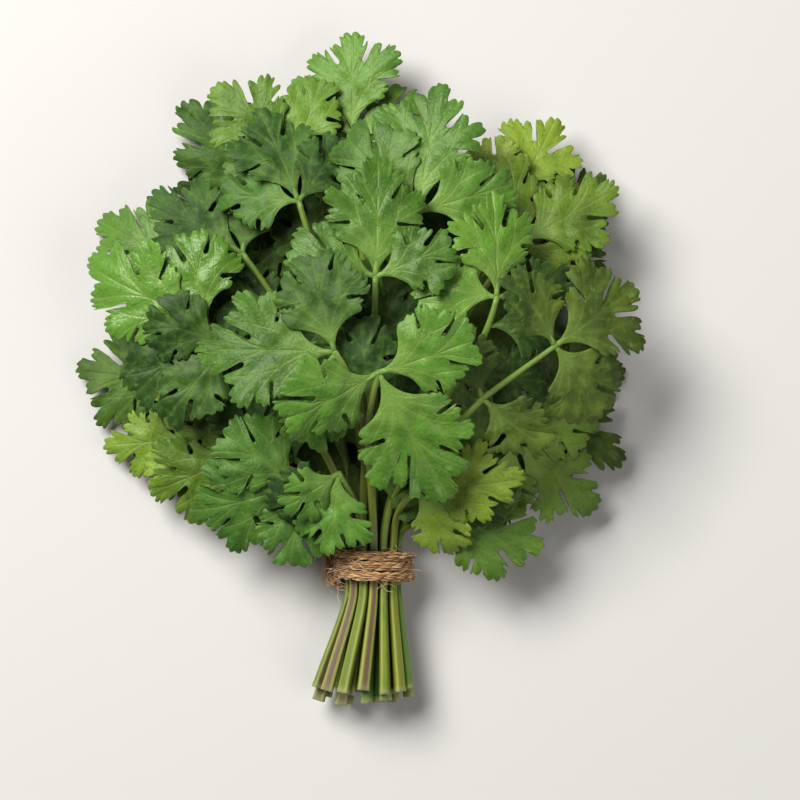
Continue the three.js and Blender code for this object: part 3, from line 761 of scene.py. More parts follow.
# ---- Materials ----
class Signal:
    """One output socket of a material, used in sums as a number would be."""

    def __init__(self, paint, socket):
        self.paint, self.socket = paint, socket

    def math(self, operation, *others, **settings):
        return self.paint.node(
            "ShaderNodeMath", {"operation": operation, **settings}, dict(enumerate((self, *others))))

    def __add__(self, other):
        return self.math("ADD", other)

    def __sub__(self, other):
        return self.math("SUBTRACT", other)

    def __mul__(self, other):
        return self.math("MULTIPLY", other)

    def __pow__(self, other):
        return self.math("POWER", other)

    def __abs__(self):
        return self.math("ABSOLUTE")

    def __rsub__(self, other):
        return self * -1 + other

    __radd__, __rmul__ = __add__, __mul__

    def least(self, other):
        return self.math("MINIMUM", other)

    def most(self, other):
        return self.math("MAXIMUM", other)

    def clamped(self, factor=1.0):
        """This times factor, kept from 0 to 1."""
        return self.math("MULTIPLY", factor, use_clamp=True)

    def ramp(self, low, high, first=0.0, last=1.0):
        """A smooth step from first to last as this goes from low to high."""
        return self.paint.node(
            "ShaderNodeMapRange", {"interpolation_type": "SMOOTHSTEP"},
            {"Value": self, "From Min": low, "From Max": high, "To Min": first, "To Max": last})


class Paint:
    """A material and the nodes that make it."""

    def __init__(self, name):
        self.material = bpy.data.materials.new(name)
        self.material.use_nodes = True
        self.tree = self.material.node_tree
        self.tree.nodes.clear()

    def node(self, kind, settings=None, values=None, output=0):
        """Adds a node, sets it, sets or links its inputs, and gives one of its outputs."""
        made = self.tree.nodes.new(kind)
        for name, value in (settings or {}).items():
            setattr(made, name, value)
        for key, value in (values or {}).items():
            if isinstance(value, Signal):
                self.tree.links.new(value.socket, made.inputs[key])
            else:
                made.inputs[key].default_value = value
        return Signal(self, made.outputs[output])

    def mark(self, name):
        return self.node("ShaderNodeAttribute", {"attribute_name": name}, output="Fac")

    def mix(self, share, first, second, way="MIX"):
        """Two colours mixed."""
        settings = {"data_type": "RGBA", "blend_type": way, "clamp_factor": True}
        return self.node("ShaderNodeMix", settings, {0: share, 6: first, 7: second}, output=2)

    def noise(self, place, scale, detail=3.0, rough=0.55):
        return self.node(
            "ShaderNodeTexNoise", None,
            {"Vector": place, "Scale": scale, "Detail": detail, "Roughness": rough})

    def object_place(self):
        return self.node("ShaderNodeTexCoord", output="Object")

    def surface_parts(self):
        """The two coordinates of the piece's own surface map."""
        uv = self.node("ShaderNodeUVMap", {"uv_map": "surface"})
        parts = self.node("ShaderNodeSeparateXYZ", None, {0: uv})
        return parts, Signal(self, parts.socket.node.outputs[1])

    def place(self, x, y, z=0.0):
        return self.node("ShaderNodeCombineXYZ", None, {0: x, 1: y, 2: z})

    def bump(self, height, strength, distance):
        return self.node(
            "ShaderNodeBump", None, {"Height": height, "Strength": strength, "Distance": distance})

    def finish(self, values):
        surface = self.node("ShaderNodeBsdfPrincipled", None, values)
        out = self.tree.nodes.new("ShaderNodeOutputMaterial")
        self.tree.links.new(surface.socket, out.inputs["Surface"])
        return self.material


def colour(values):
    return (*values, 1.0)


def rib_lines(along, across):
    """How far a point is from a blade's base and from its nearest rib, as shares of its length."""
    ahead = along + RIB_FOOT
    reach = (ahead * ahead + across * across) ** 0.5
    turn = abs(across).math("ARCTAN2", ahead)
    gap = None
    for start, gain, begins in RIBS:
        off = abs(turn - (reach * math.radians(gain) + math.radians(start))) * reach
        if begins > LATE_RIB:
            off = off + (begins - reach).most(0.0) * 3.0
        gap = off if gap is None else gap.least(off)
    return reach, gap


def leaf_paint(name, look, yellow):
    """The skin of blades, rachis and little stalks, as much yellower as yellow says."""
    paint = Paint(name)
    place = paint.object_place()
    along, across = paint.surface_parts()
    tone, lime, under, pale, rim, gloss = map(paint.mark, ("tone", "lime", "under", "pale", "rim", "gloss"))
    patches = paint.noise(place, 55)
    fine = paint.noise(place, 420)
    flecks = paint.noise(place, 760, 4.0, 0.65)
    # light: how light the skin is, from the blade's tone, which is partly painted light and shade, and from
    # random patches.
    light = (tone * 0.42 + 0.46 + (patches - 0.5) * 0.9).ramp(0.0, 1.0)
    body = paint.mix(light, colour(look.dark), colour(look.light))
    # Yellower skin: the leaves' own yellow green, and on the right of the bunch partly a painted warm
    # reflection in their shade.
    ripe = paint.mix(light, colour(look.olive), colour(look.lime))
    body = paint.mix((lime + yellow + (patches - 0.5) * 0.4).clamped(0.8), body, ripe)
    body = paint.mix((lime * -1).clamped(), body, COOL, way="MULTIPLY")
    body = paint.mix((fine - 0.5).ramp(-0.05, 0.22) * LEAF_SHOWS["spots"], body, colour(look.light))
    body = paint.mix((0.5 - flecks).ramp(0.0, 0.2) * LEAF_SHOWS["flecks"], body, colour(look.dark))
    reach, gap = rib_lines(along, across)
    vein = gap.ramp(*VEIN, 1.0, 0.0)
    band = gap.ramp(0.0, BAND, 1.0, 0.0) * reach.ramp(0.15, 0.85, 1.0, 0.25)
    # seen: the ribs, the foot and the margin show less where a blade is painted in shade.
    seen = light * 0.75 + 0.25
    body = paint.mix(band * seen * LEAF_SHOWS["band"], body, colour(look.vein))
    foot = reach.ramp(0.04, 0.3, 1.0, 0.0)
    body = paint.mix(foot * seen * LEAF_SHOWS["foot"], body, colour(look.stalk))
    body = paint.mix(vein * seen * LEAF_SHOWS["vein"], body, colour(look.vein))
    body = paint.mix(under * LEAF_SHOWS["under"], body, colour(look.underside))
    # The pale margin is partly its own paler colour and partly a painted highlight where it catches the
    # light.
    body = paint.mix(rim * seen * LEAF_SHOWS["rim"], body, colour(look.vein))
    body = paint.mix(pale * (seen * 0.6 + 0.4), body, colour(look.stalk))
    cells = paint.node(
        "ShaderNodeTexVoronoi", {"feature": "DISTANCE_TO_EDGE"}, {"Vector": place, "Scale": 520.0})
    quilt = cells.ramp(0.0, 0.3) * 0.2 + paint.noise(place, 150) + flecks * 0.35 - vein * 0.3
    calm = tone.ramp(*CALM)
    normal = paint.bump(quilt * (calm * 0.65 + 0.35), 0.45, 0.6 * MM)
    rough = fine * 0.24 + 0.38 + under * 0.1 - gloss * 0.14 + (1.0 - calm) * 0.22
    return paint.finish({
        "Base Color": body, "Roughness": rough, "Normal": normal, "Specular IOR Level": 0.36,
        "Specular Tint": (0.9, 1.0, 0.75, 1.0),
    })


def stalk_paint(look):
    """The skin of the stalks: streaked, dusky in the groove, pale where it is cut."""
    paint = Paint("stalk skin")
    place = paint.object_place()
    run, turn = paint.surface_parts()
    names = ("kind", "dusk", "low", "channel", "lip", "cut", "crown")
    kind, dusk, low, channel, lip, cut, crown = map(paint.mark, names)
    lines = paint.noise(paint.place(run * 0.05, turn * 9.0, kind * 7.0), 5.0)
    patches = paint.noise(place, 70)
    body = paint.mix((kind + (patches - 0.5) * 0.8).ramp(0.1, 0.9), colour(look.green), colour(look.yellow))
    body = paint.mix((1 - low) * STALK_SHOWS["high"], body, colour(look.high))
    body = paint.mix((lines - 0.5).ramp(0.0, 0.2) * STALK_SHOWS["pale_lines"], body, colour(look.edge))
    body = paint.mix((0.5 - lines).ramp(0.0, 0.2) * STALK_SHOWS["dark_lines"], body, colour(look.green))
    dusky = channel * dusk * low * (lines * 0.5 + 0.75)
    body = paint.mix(dusky.clamped(STALK_SHOWS["channel"]), body, colour(look.channel))
    body = paint.mix(lip * (low * 0.45 + 0.15), body, colour(look.edge))
    body = paint.mix(cut * STALK_SHOWS["cut"], body, colour(look.pith))
    body = paint.mix(crown * STALK_SHOWS["crown"], body, colour(look.crown))
    height = lines * 0.8 + paint.noise(place, 500, 2.0) * 0.2
    normal = paint.bump(height, 0.35, 0.4 * MM)
    rough = patches * 0.25 + 0.3
    return paint.finish({
        "Base Color": body, "Roughness": rough, "Normal": normal, "Specular IOR Level": 0.4})


def twine_paint(look):
    """Jute, darker between its threads: painted shade on the core that shows there."""
    paint = Paint("jute")
    place = paint.object_place()
    run, turn = paint.surface_parts()
    tone = paint.mark("tone")
    grain = paint.noise(paint.place(run * 0.25, turn * 2.0, tone * 9.0), 4.0, rough=0.6)
    patches = paint.noise(place, 160)
    shade = tone + (grain - 0.5) * 0.5 + (patches - 0.5) * 0.5
    body = paint.mix(shade.ramp(0.0, 0.5), colour(look.dark), colour(look.tan))
    body = paint.mix(shade.ramp(0.5, 1.0), body, colour(look.straw))
    normal = paint.bump(grain, 0.6, 0.3 * MM)
    return paint.finish({
        "Base Color": body, "Roughness": 0.78, "Normal": normal, "Sheen Weight": 0.1,
        "Sheen Roughness": 0.5})


# ---- What a user would change ----
def tint(name, description, default):
    return FloatVectorProperty(
        name=name, description=description, default=default, subtype="COLOR", min=0, max=1)


def measure(name, description, default):
    """A length whose default is given in millimetres."""
    return FloatProperty(name=name, description=description, default=default * MM, unit="LENGTH")


def proportion(name, description, default, most):
    return FloatProperty(
        name=name, description=description, default=default, subtype="FACTOR", min=0, max=most)


class CORIANDER_PG_leaves(bpy.types.PropertyGroup):
    """Sizes and colours of the leaves."""

    thickness: measure("Thickness", "Thickness of a blade", 0.42)
    rib_depth: measure("Rib depth", "How far the ribs are sunk in a blade", 0.38)
    rib_width: measure("Rib width", "How wide the fold along a rib is", 2.0)
    curl: measure("Curl", "How far the lobes of a blade curl", 3.2)
    swell: measure("Swell", "Height of the broad waves in a blade's face", 0.6)
    ruffle: measure("Ruffle", "How far the margin waves up and down", 0.4)
    sectors: IntProperty(
        name="Margin points", description="Points round the margin of an end blade", default=272, min=96)
    # Each blade's tone runs from dark to light green, and for yellower leaves from olive to yellow green;
    # it is partly the leaf's own and partly painted light and shade.
    dark: tint("Dark green", "Colour of a leaf's darker parts", (0.011, 0.036, 0.004))
    light: tint("Light green", "Colour of a leaf's lighter parts", (0.096, 0.226, 0.023))
    lime: tint("Yellow green", "Colour that young leaves turn to", (0.27, 0.36, 0.030))
    olive: tint("Olive", "Colour of the darker parts of leaves that turn yellow", (0.036, 0.055, 0.006))
    # On the margin this colour is partly a painted highlight.
    vein: tint("Rib green", "Colour of the ribs and the margin", (0.17, 0.27, 0.055))
    stalk: tint("Leaf stalk", "Colour of the little stalks and the rachis", (0.19, 0.31, 0.060))
    underside: tint("Underside", "Colour of a blade's underside", (0.11, 0.18, 0.06))


class CORIANDER_PG_stalks(bpy.types.PropertyGroup):
    """Shape and colours of the stalks."""

    channel_depth: proportion("Channel depth", "Depth of the groove, as a share of the radius", 0.34, 0.8)
    rib_height: proportion("Rib height", "Height of the fine ribs, as a share of the radius", 0.05, 0.3)
    green: tint("Green", "Colour of the greener stalks", (0.062, 0.15, 0.012))
    yellow: tint("Yellow green", "Colour of the yellower stalks", (0.225, 0.27, 0.018))
    high: tint("Upper green", "Colour of the stalks among the leaves", (0.10, 0.19, 0.028))
    crown: tint("Crown", "Colour of the stalks where their leaves begin", (0.17, 0.29, 0.052))
    edge: tint("Pale edge", "Colour of the edges of the groove", (0.34, 0.33, 0.09))
    channel: tint("Channel", "Colour in the groove below the twine", (0.125, 0.066, 0.045))
    pith: tint("Pith", "Colour of the cut ends", (0.47, 0.46, 0.26))


class CORIANDER_PG_twine(bpy.types.PropertyGroup):
    """Make and colours of the twine."""

    plies: IntProperty(name="Plies", description="Strands twisted into the twine", default=3, min=2, max=5)
    lay: measure("Lay", "Length of one twist of the plies", 13)
    threads: IntProperty(
        name="Threads", description="Threads laid round each strand", default=9, min=3, max=12)
    fibres: IntProperty(name="Stray fibres", description="Loose fibres on the twine", default=320, min=0)
    # Painted shade: the dark jute is the colour of the core between the threads, and of the darker threads.
    dark: tint("Dark jute", "Colour between the threads", (0.09, 0.034, 0.009))
    tan: tint("Jute", "Colour of the jute", (0.47, 0.25, 0.10))
    straw: tint("Straw", "Colour of the palest fibres", (0.92, 0.68, 0.40))


class CORIANDER_PG_stage(bpy.types.PropertyGroup):
    """Floor, light and camera."""

    floor: tint("Floor", "Colour of the floor", (0.60, 0.59, 0.575))
    key: FloatProperty(name="Key light", description="Power of the large light", default=50, unit="POWER")
    fill: FloatProperty(name="Surround", description="Strength of the light all round", default=0.06)
    distance: measure("Camera height", "Height of the camera above the floor", 1400)


# ---- Blades inside the bunch ----
def cells_of(points):
    """The cells of the top view that points fall in, and the points' heights."""
    cells = np.floor(points[:, :2] / CELL).astype(int) + GRID // 2
    return cells[:, 0] * GRID + cells[:, 1], points[:, 2]


def blade_samples(blade, reach):
    """Points spread over a blade, as far from its hub as reach."""
    rings, turns = np.meshgrid(np.linspace(0.08, 1, 9), np.linspace(-math.pi, math.pi, 36, endpoint=False))
    far = reach * rings * (0.86 + 0.14 * np.cos(turns))
    along, across = HUB + 0.06 + far * np.cos(turns), far * np.sin(turns)
    return blade.points(along.ravel(), across.ravel(), np.zeros(along.size))


class Heap:
    """What the top view of the bunch covers, and at what heights."""

    def __init__(self, leaves):
        self.covered = np.zeros(GRID * GRID, dtype=bool)
        self.layers = {}
        for leaf in leaves:
            for blade in leaf.blades:
                self.lay(blade_samples(blade, REACHES["touch"]))
                self.covered[cells_of(blade_samples(blade, REACHES["cover"]))[0]] = True
            self.lay(even_line(leaf.line, 160))
        grid = self.covered.reshape(GRID, GRID)
        across = np.maximum.accumulate(grid, 0) & np.maximum.accumulate(grid[::-1], 0)[::-1]
        along = np.maximum.accumulate(grid, 1) & np.maximum.accumulate(grid[:, ::-1], 1)[:, ::-1]
        inside = across & along
        inside[:, : int(GRID / 2 + INSIDE_FROM / CELL)] = False
        self.inside = inside.ravel()

    def lay(self, points):
        """Takes up the heights of points in the cells that they fall in."""
        cells, heights = cells_of(points)
        for cell, height in zip(cells.tolist(), heights.tolist()):
            self.layers.setdefault(cell, []).append(height)

    def gain(self, cells):
        """How many of the cells lie inside the bunch with nothing over the table."""
        return int((self.inside[cells] & ~self.covered[cells]).sum())

    def clash(self, points):
        """The share of points that come too close to what is laid there."""
        cells, heights = cells_of(points)
        hits = 0
        for cell, height in zip(cells.tolist(), heights.tolist()):
            hits += any(abs(height - other) < INNER["room"] for other in self.layers.get(cell, ()))
        return hits / len(cells)


def inner_options(leaf):
    """The blades that could grow low on a leaf's stem, and the way each of them grows."""
    _, _, share_up = place_of(leaf.number)
    line = even_line(leaf.line, 20)
    for k in INNER_STEPS:
        root, ahead = Vector(line[k]), line[k + 1] - line[k]
        if math.hypot(root.x, root.y) < INNER["clear"]:
            continue
        way = math.atan2(ahead[1], ahead[0])
        for n, turn in enumerate(INNER["turns"]):
            ident = 1000 + leaf.number * 10 + (k * 7 + n * 3) % 10
            size = INNER["size"] + INNER["grows"] * chance(ident, k + n)
            heading = way + math.radians(turn + vary(ident, TURN, INNER["turn_varies"]))
            lift = vary(ident, k, INNER["lift"])
            yield Blade(
                ident, root, heading, size, INNER["stalk"] * size, share_up * INNER["share"], lift, "inner")


def inner_blades(leaves):
    """Small blades low on the stalks, where the bunch would show the table between its leaves."""
    heap = Heap(leaves)
    options = []
    for leaf in leaves:
        for blade in inner_options(leaf):
            points = blade_samples(blade, REACHES["inner_touch"])
            if points[:, 2].min() >= INNER["lowest"]:
                cells = np.unique(cells_of(blade_samples(blade, REACHES["inner_cover"]))[0])
                options.append((leaf.number, blade, points, cells))
    chosen = []
    gains = [heap.gain(cells) for *_, cells in options]
    while len(chosen) < INNER["most"]:
        best = int(np.argmax(gains))
        if gains[best] < INNER["least"]:
            break
        number, blade, points, cells = options[best]
        if heap.clash(points) > INNER["clash"]:
            gains[best] = 0
            continue
        chosen.append((number, blade))
        heap.lay(points)
        heap.covered[cells] = True
        gains = [heap.gain(option[3]) if gain else 0 for option, gain in zip(options, gains)]
    return chosen


# ---- Blades kept off each other ----
class Sheet:
    """The lowest and highest points of one blade in each cell of the top view."""

    def __init__(self, mesh, root):
        self.root = np.array(root)
        points = corners_of(mesh) / MM
        ends = np.empty(len(mesh.edges) * 2, dtype=np.int32)
        mesh.edges.foreach_get("vertices", ends)
        first, last = points[ends[0::2]], points[ends[1::2]]
        dense = np.vstack([first + (last - first) * part for part in (0, 0.25, 0.5, 0.75)])
        cells = np.floor(dense[:, :2] / FINE).astype(int)
        self.corner = cells.min(axis=0) - SPREAD
        shape = cells.max(axis=0) + SPREAD + 1 - self.corner
        self.low, self.top = np.full(shape, np.inf), np.full(shape, -np.inf)
        at = tuple((cells - self.corner).T)
        np.minimum.at(self.low, at, dense[:, 2])
        np.maximum.at(self.top, at, dense[:, 2])
        self.filled = np.isfinite(self.low)

    def shared(self, other):
        """The windows in which two sheets meet, one in each of them."""
        first = np.maximum(self.corner, other.corner)
        last = np.minimum(self.corner + self.low.shape, other.corner + other.low.shape)
        if (last <= first).any():
            return None
        return [
            tuple(slice(*ends) for ends in zip(first - one.corner, last - one.corner))
            for one in (self, other)]

    def shift_from(self, settled):
        """How far each cell has to go up or down to clear the settled sheets."""
        down, up = np.zeros(self.low.shape), np.zeros(self.low.shape)
        for other in settled:
            windows = self.shared(other)
            if windows is None:
                continue
            mine, its = windows
            both = self.filled[mine] & other.filled[its]
            if not both.any():
                continue
            under = (other.low[its] - self.top[mine])[both]
            over = (self.low[mine] - other.top[its])[both]
            move, gap = (down, under) if under.sum() > over.sum() else (up, over)
            if gap.min() < -DEEPEST:
                continue
            part = move[mine]
            part[both] = np.maximum(part[both], ROOM - gap)
        down = np.minimum(down, np.where(self.filled, np.maximum(self.low - OFF_TABLE, 0), np.inf))
        for _ in range(SPREAD):
            down, up = (np.maximum(move, blurred(move)) for move in (down, up))
        return up - down

    def settle(self, shift, meshes):
        """Shifts meshes that belong to the sheet, but not where they grow from their root."""
        for mesh in meshes:
            points = corners_of(mesh) / MM
            place = points[:, :2] / FINE - 0.5 - self.corner
            cell = np.clip(np.floor(place).astype(int), 0, np.array(shift.shape) - 2)
            x, y = np.clip(place - cell, 0, 1).T
            i, j = cell.T
            moved = (shift[i, j] * (1 - x) * (1 - y) + shift[i + 1, j] * x * (1 - y)
                     + shift[i, j + 1] * (1 - x) * y + shift[i + 1, j + 1] * x * y)
            away = np.linalg.norm(points[:, :2] - self.root[:2], axis=1)
            points[:, 2] += moved * np.interp(away, ROOTED, (0, 1))
            mesh.vertices.foreach_set("co", (points * MM).ravel())


def blurred(grid):
    """The mean of each cell and its eight neighbours."""
    wide = np.pad(grid, 1)
    rows = wide[:-2] + wide[1:-1] + wide[2:]
    return (rows[:, :-2] + rows[:, 1:-1] + rows[:, 2:]) / 9


def separate(built):
    """Moves blades off each other, from the top of the heap down."""
    sheets = [(Sheet(meshes[0], blade.root), blade, meshes) for blade, meshes in built]
    sheets.sort(key=lambda entry: -entry[0].top[entry[0].filled].mean())
    settled = []
    for sheet, blade, meshes in sheets:
        shift = sheet.shift_from(settled)
        if shift.any():
            sheet.settle(shift, meshes)
            sheet = Sheet(meshes[0], blade.root)
        settled.append(sheet)


# ---- Operators ----
class CORIANDER_OT_leaves(bpy.types.Operator):
    """Models every leaf: its rachis, its little stalks and its cut blades"""

    bl_idname = "coriander.leaves"
    bl_label = "Leaves"

    def execute(self, context):
        look = context.scene.coriander_leaves
        paints = {
            False: leaf_paint("leaf skin", look, 0.0),
            True: leaf_paint("young leaf skin", look, 0.25),
        }
        discs = {kind: Disc(int(look.sectors * part)) for kind, part in DETAIL.items()}
        rod = rod_template(8, 13)
        leaves = [Leaf(number) for number in range(1, len(SPRAYS) + 1)]
        inner = inner_blades(leaves)
        built = {leaf.number: [] for leaf in leaves}
        for leaf in leaves:
            for blade in leaf.blades + [blade for owner, blade in inner if owner == leaf.number]:
                parts = (
                    blade_mesh(blade, discs[blade.kind], look, leaf.plan),
                    self.stalk_mesh(blade, rod, leaf.plan, look))
                built[leaf.number].append((blade, parts))
        separate([entry for entries in built.values() for entry in entries])
        for number, leaf in enumerate(leaves, 1):
            meshes = [press(mesh) for _, parts in built[number] for mesh in parts]
            meshes.append(self.rachis_mesh(leaf, rod, leaf.plan))
            young = number in YOUNG
            piece_of(
                f"coriander_leaf_{number:02d}", meshes, paints[young], [f"leaf_{number:02d}"])
        for mesh in (rod, *(disc.mesh for disc in discs.values())):
            bpy.data.meshes.remove(mesh)
        return {"FINISHED"}

    def stalk_mesh(self, blade, rod, plan, look):
        """The little stalk of a blade, which runs on below it as its middle rib."""
        along = np.linspace(-blade.stalk / blade.size, 0.6, 16)
        across = np.zeros(16)
        turn = np.where(along < HUB, 180, 0)
        relief = blade_relief(blade, turn, np.abs(along - HUB), along, across, look)
        sunk = np.interp(along, (-0.16, 0.0, 0.1, 0.6), (0, -0.5, -0.68, -0.42))
        line = blade.points(along, across, relief + sunk)
        radius = np.interp(along, (along[0], 0.0, 0.15, 0.6), (0.8, 0.68, 0.45, 0.18))

        def pale(turn, run):
            return np.interp(run * (along[-1] - along[0]) + along[0], (0, 0.3), (1, 0.25))

        # The little stalk takes its blade's painted light and shade.
        marks = {"under": 0, "rim": 0, "gloss": 0, "tone": blade.shade, "lime": plan.lime, "pale": pale}
        return press(rod_mesh(rod, line, radius, marks, flat=0.8))

    def rachis_mesh(self, leaf, rod, plan):
        """The rachis, from just inside the stalk to the last fork."""
        stem = leaf.line
        arrive = stem[-1] - stem[-2]
        arrive /= np.linalg.norm(arrive)
        first, last = np.array(leaf.forks[0]), np.array(leaf.forks[-1])
        ahead = arrive if len(leaf.forks) == 1 else (last - first) / np.linalg.norm(last - first)
        bare = 4 / (4.5 + np.linalg.norm(last - first))
        points = [first - arrive * 4, *map(np.array, leaf.forks), last + ahead * 0.5]
        line = smooth_line(points, 10)
        radius = np.interp(np.linspace(0, 1, 20), (0, bare, 1), (0.7, 1.12, 0.85))
        # The rachis takes its leaf's painted light and shade.
        marks = {"under": 0, "rim": 0, "gloss": 0, "tone": plan.tone, "lime": plan.lime, "pale": 1}
        return press(rod_mesh(rod, line, radius, marks))


class CORIANDER_OT_stalks(bpy.types.Operator):
    """Models every stalk, grooved and ribbed, from its cut end up to its leaf"""

    bl_idname = "coriander.stalks"
    bl_label = "Stalks"

    def execute(self, context):
        look = context.scene.coriander_stalks
        paint = stalk_paint(look)
        rod = rod_template(26, 70)
        for number in range(1, len(SPRAYS) + 1):
            line, tie = stem_line(number, Leaf(number).forks[0], 160)
            shares = np.linspace(0, 1, 80)
            cut, waist, tip = (STEM_RADIUS[k] for k in ("cut", "tie", "tip"))
            widths = (cut * STALK_FOOT[0], cut * STALK_FOOT[1], waist, tip)
            radius = np.interp(shares, (0, 0.02, tie, 1), widths)
            piece_of(
                f"coriander_stalk_{number:02d}", [self.stalk(number, rod, line, tie, radius, look)], paint,
                [f"stem_{number:02d}"])
        bpy.data.meshes.remove(rod)
        return {"FINISHED"}

    def stalk(self, number, rod, line, tie, radius, look):
        """One stalk, its groove turned its own way."""
        dusk = 1.0 if chance(number, BARK + 1) < 0.6 else 0.15
        facing = math.pi * vary(number, GROOVE, 0.22 if dusk > 0.5 else 0.9)
        length = lengths_along(line)[-1]
        form, skin = GROOVE_FORM, GROOVE_SKIN

        def off(turn):
            return np.abs(np.arctan2(np.sin(turn - facing), np.cos(turn - facing)))

        def section(turn, share):
            deep = look.channel_depth * np.interp(share, (0, tie, tie * 2, 1), (1, 0.9, 0.5, 0.35))
            lips = form["lip"] * np.exp(-((off(turn) - form["lip_at"]) / form["lip_half"]) ** 2)
            ribs = look.rib_height * np.cos(form["ribs"] * (turn - facing))
            ribs = ribs * (off(turn) > form["ribs_from"])
            return 1 - deep * np.exp(-(off(turn) / form["half"]) ** 4) + lips + ribs

        marks = {
            "kind": 1.3 * chance(number, BARK) - 0.15,
            "dusk": dusk,
            "channel": lambda turn, share: np.exp(-(off(turn) / skin["half"]) ** 6),
            "lip": lambda turn, share: np.exp(-((off(turn) - skin["lip_at"]) / skin["lip_half"]) ** 2),
            "low": lambda turn, share: np.interp(share, (0, tie, tie * 1.7, 1), (1, 1, 0.25, 0.0)),
            "crown": lambda turn, share: np.interp(share, (0.86, 1), (0, 1)),
            "cut": lambda turn, share: np.interp(share * length, (0, 0.6, 2.4), (1, 0.45, 0)),
        }
        return press(rod_mesh(rod, line, radius, marks, section=section, hollow=HOLLOW))


class CORIANDER_OT_twine(bpy.types.Operator):
    """Models the jute twine: its twisted plies, its knot and its stray fibres"""

    bl_idname = "coriander.twine"
    bl_label = "Twine"

    def execute(self, context):
        look = context.scene.coriander_twine
        paint = twine_paint(look)
        lines = self.lines()
        meshes = []
        for number, (line, reel) in enumerate(lines):
            meshes += self.plied(line, reel, look, number)
        piece_of("twine_wound", meshes, paint, ["twine"])
        piece_of("twine_fibres", self.loose(lines, look), paint, ["twine"])
        return {"FINISHED"}

    def lines(self):
        """The twine's own lines, each with the way that stays across it."""
        t = np.linspace(0, 1, 361)
        turn = math.pi * (2 * TWINE["turns"] * t - 1)
        winding = np.column_stack((
            TWINE_LOOP["across"] * np.cos(turn), TWINE["pitch"] * (TWINE["turns"] * t + TWINE["start"]),
            TIE_HEIGHT + TWINE_LOOP["up"] * np.sin(turn)))
        first, last, knot = winding[0], winding[-1], np.array(KNOT["at"])
        crossing = smooth_line([first, first + (-2.6, 2.4, -2), knot, KNOT["tails"][0]], 14)
        closing = smooth_line([last, knot, KNOT["tails"][1]], 14)
        spin = np.linspace(0, 2 * math.pi, 49)
        ring = Matrix.Rotation(KNOT["turn"], 3, "Z") @ Matrix.Rotation(math.pi / 2, 3, "X")
        wrap = np.column_stack((np.cos(spin), np.sin(spin), spin * 0)) * KNOT["radius"]
        wrap = wrap @ np.array(ring).T + knot
        up = (0, 0, 1)
        return [(winding, (0, 1, 0)), (crossing, up), (closing, up), (wrap, tuple(ring.col[2]))]

    def plied(self, line, reel, look, number):
        """The plies of one length of twine, each a core with fibres laid round it."""
        length = lengths_along(line)[-1]
        steps = max(20, int(length / 0.9))
        core, fibre = rod_template(10, steps), rod_template(5, steps)
        even = even_line(line, 2 * steps)
        run = lengths_along(even)
        _, side, over = frames_along(even, reel)
        meshes = []
        for ply in range(look.plies):
            turn = (run / (look.lay / MM) + ply / look.plies) * 2 * math.pi
            out = side * np.cos(turn)[:, None] + over * np.sin(turn)[:, None]
            uneven = 1 + PLY["uneven"] * np.sin(run * 1.3 + ply * 2 + number)
            thick = TWINE["radius"] * PLY["radius"] * uneven
            strand = even + out * TWINE["radius"] * PLY["out"]
            # Painted shade: the core, which shows between the threads, is given a dark tone.
            meshes.append(rod_mesh(core, strand, thick * PLY["core"], {"tone": 0.1}, up=reel))
            _, beside, above = frames_along(strand, reel)
            for k in range(look.threads):
                ident = 400 + number * 40 + ply * 12 + k
                spin = -run / THREAD_LAY * 2 * math.pi + 2 * math.pi * k / look.threads
                spin += vary(ident, THREAD["turn"], 0.3)
                spin += 0.35 * np.sin(run * 0.5 + 6 * chance(ident, THREAD["drift"]))
                far = thick * (0.9 + 0.12 * np.sin(run * 0.9 + 6 * chance(ident, THREAD["swell"])))
                lie = beside * (np.cos(spin) * far)[:, None] + above * (np.sin(spin) * far)[:, None]
                radius = 0.17 + 0.08 * chance(ident, THREAD["thick"])
                radius = radius + 0.04 * np.sin(run * 0.8 + 6 * chance(ident, THREAD["thicken"]))
                marks = {"tone": 0.22 + 0.62 * chance(ident, THREAD["tone"])}
                meshes.append(rod_mesh(fibre, strand + lie, radius, marks, up=reel))
        for mesh in meshes:
            press(mesh)
        for mesh in (core, fibre):
            bpy.data.meshes.remove(mesh)
        return meshes

    def loose(self, lines, look):
        """Stray fibres that stand off the twine."""
        rod = rod_template(4, 8)
        meshes = []
        for number in range(look.fibres):
            line, reel = lines[0 if number % 6 else 1 + number % 3]
            _, side, over = frames_along(line, reel)
            at = int(chance(number, FIBRE["at"]) * (len(line) - 1))
            turn = 2 * math.pi * chance(number, FIBRE["turn"])
            out = side[at] * math.cos(turn) + over[at] * math.sin(turn)
            ahead = line[min(at + 1, len(line) - 1)] - line[max(at - 1, 0)]
            ahead = ahead / np.linalg.norm(ahead) * (1 if chance(number, FIBRE["way"]) > 0.5 else -1)
            start = line[at] + out * TWINE["radius"] * 0.9
            if start[2] < FIBRE_LOWEST["start"]:
                continue
            long = 2.5 + 6.5 * chance(number, FIBRE["long"]) ** 2
            away = ahead * long + out * long * (0.05 + 0.5 * chance(number, FIBRE["away"]))
            away += strewn(number, FIBRE["stray"]) * long * 0.3
            bend = strewn(number, FIBRE["bend"]) * long * 0.12
            points = [
                start - out * 0.5, start + away * 0.4 + out * 0.3, start + away * 0.75 + bend,
                start + away]
            if min(point[2] for point in points) < FIBRE_LOWEST["rest"]:
                continue
            radius = np.full(6, 0.05 + 0.06 * chance(number, FIBRE["thick"]))
            marks = {"tone": 0.6 + 0.4 * chance(number, FIBRE["tone"])}
            meshes.append(rod_mesh(rod, smooth_line(points, 6), radius, marks, up=(0.31, 0.2, 0.93)))
        bpy.data.meshes.remove(rod)
        return meshes


def metres(place):
    return Vector([at * MM for at in place])


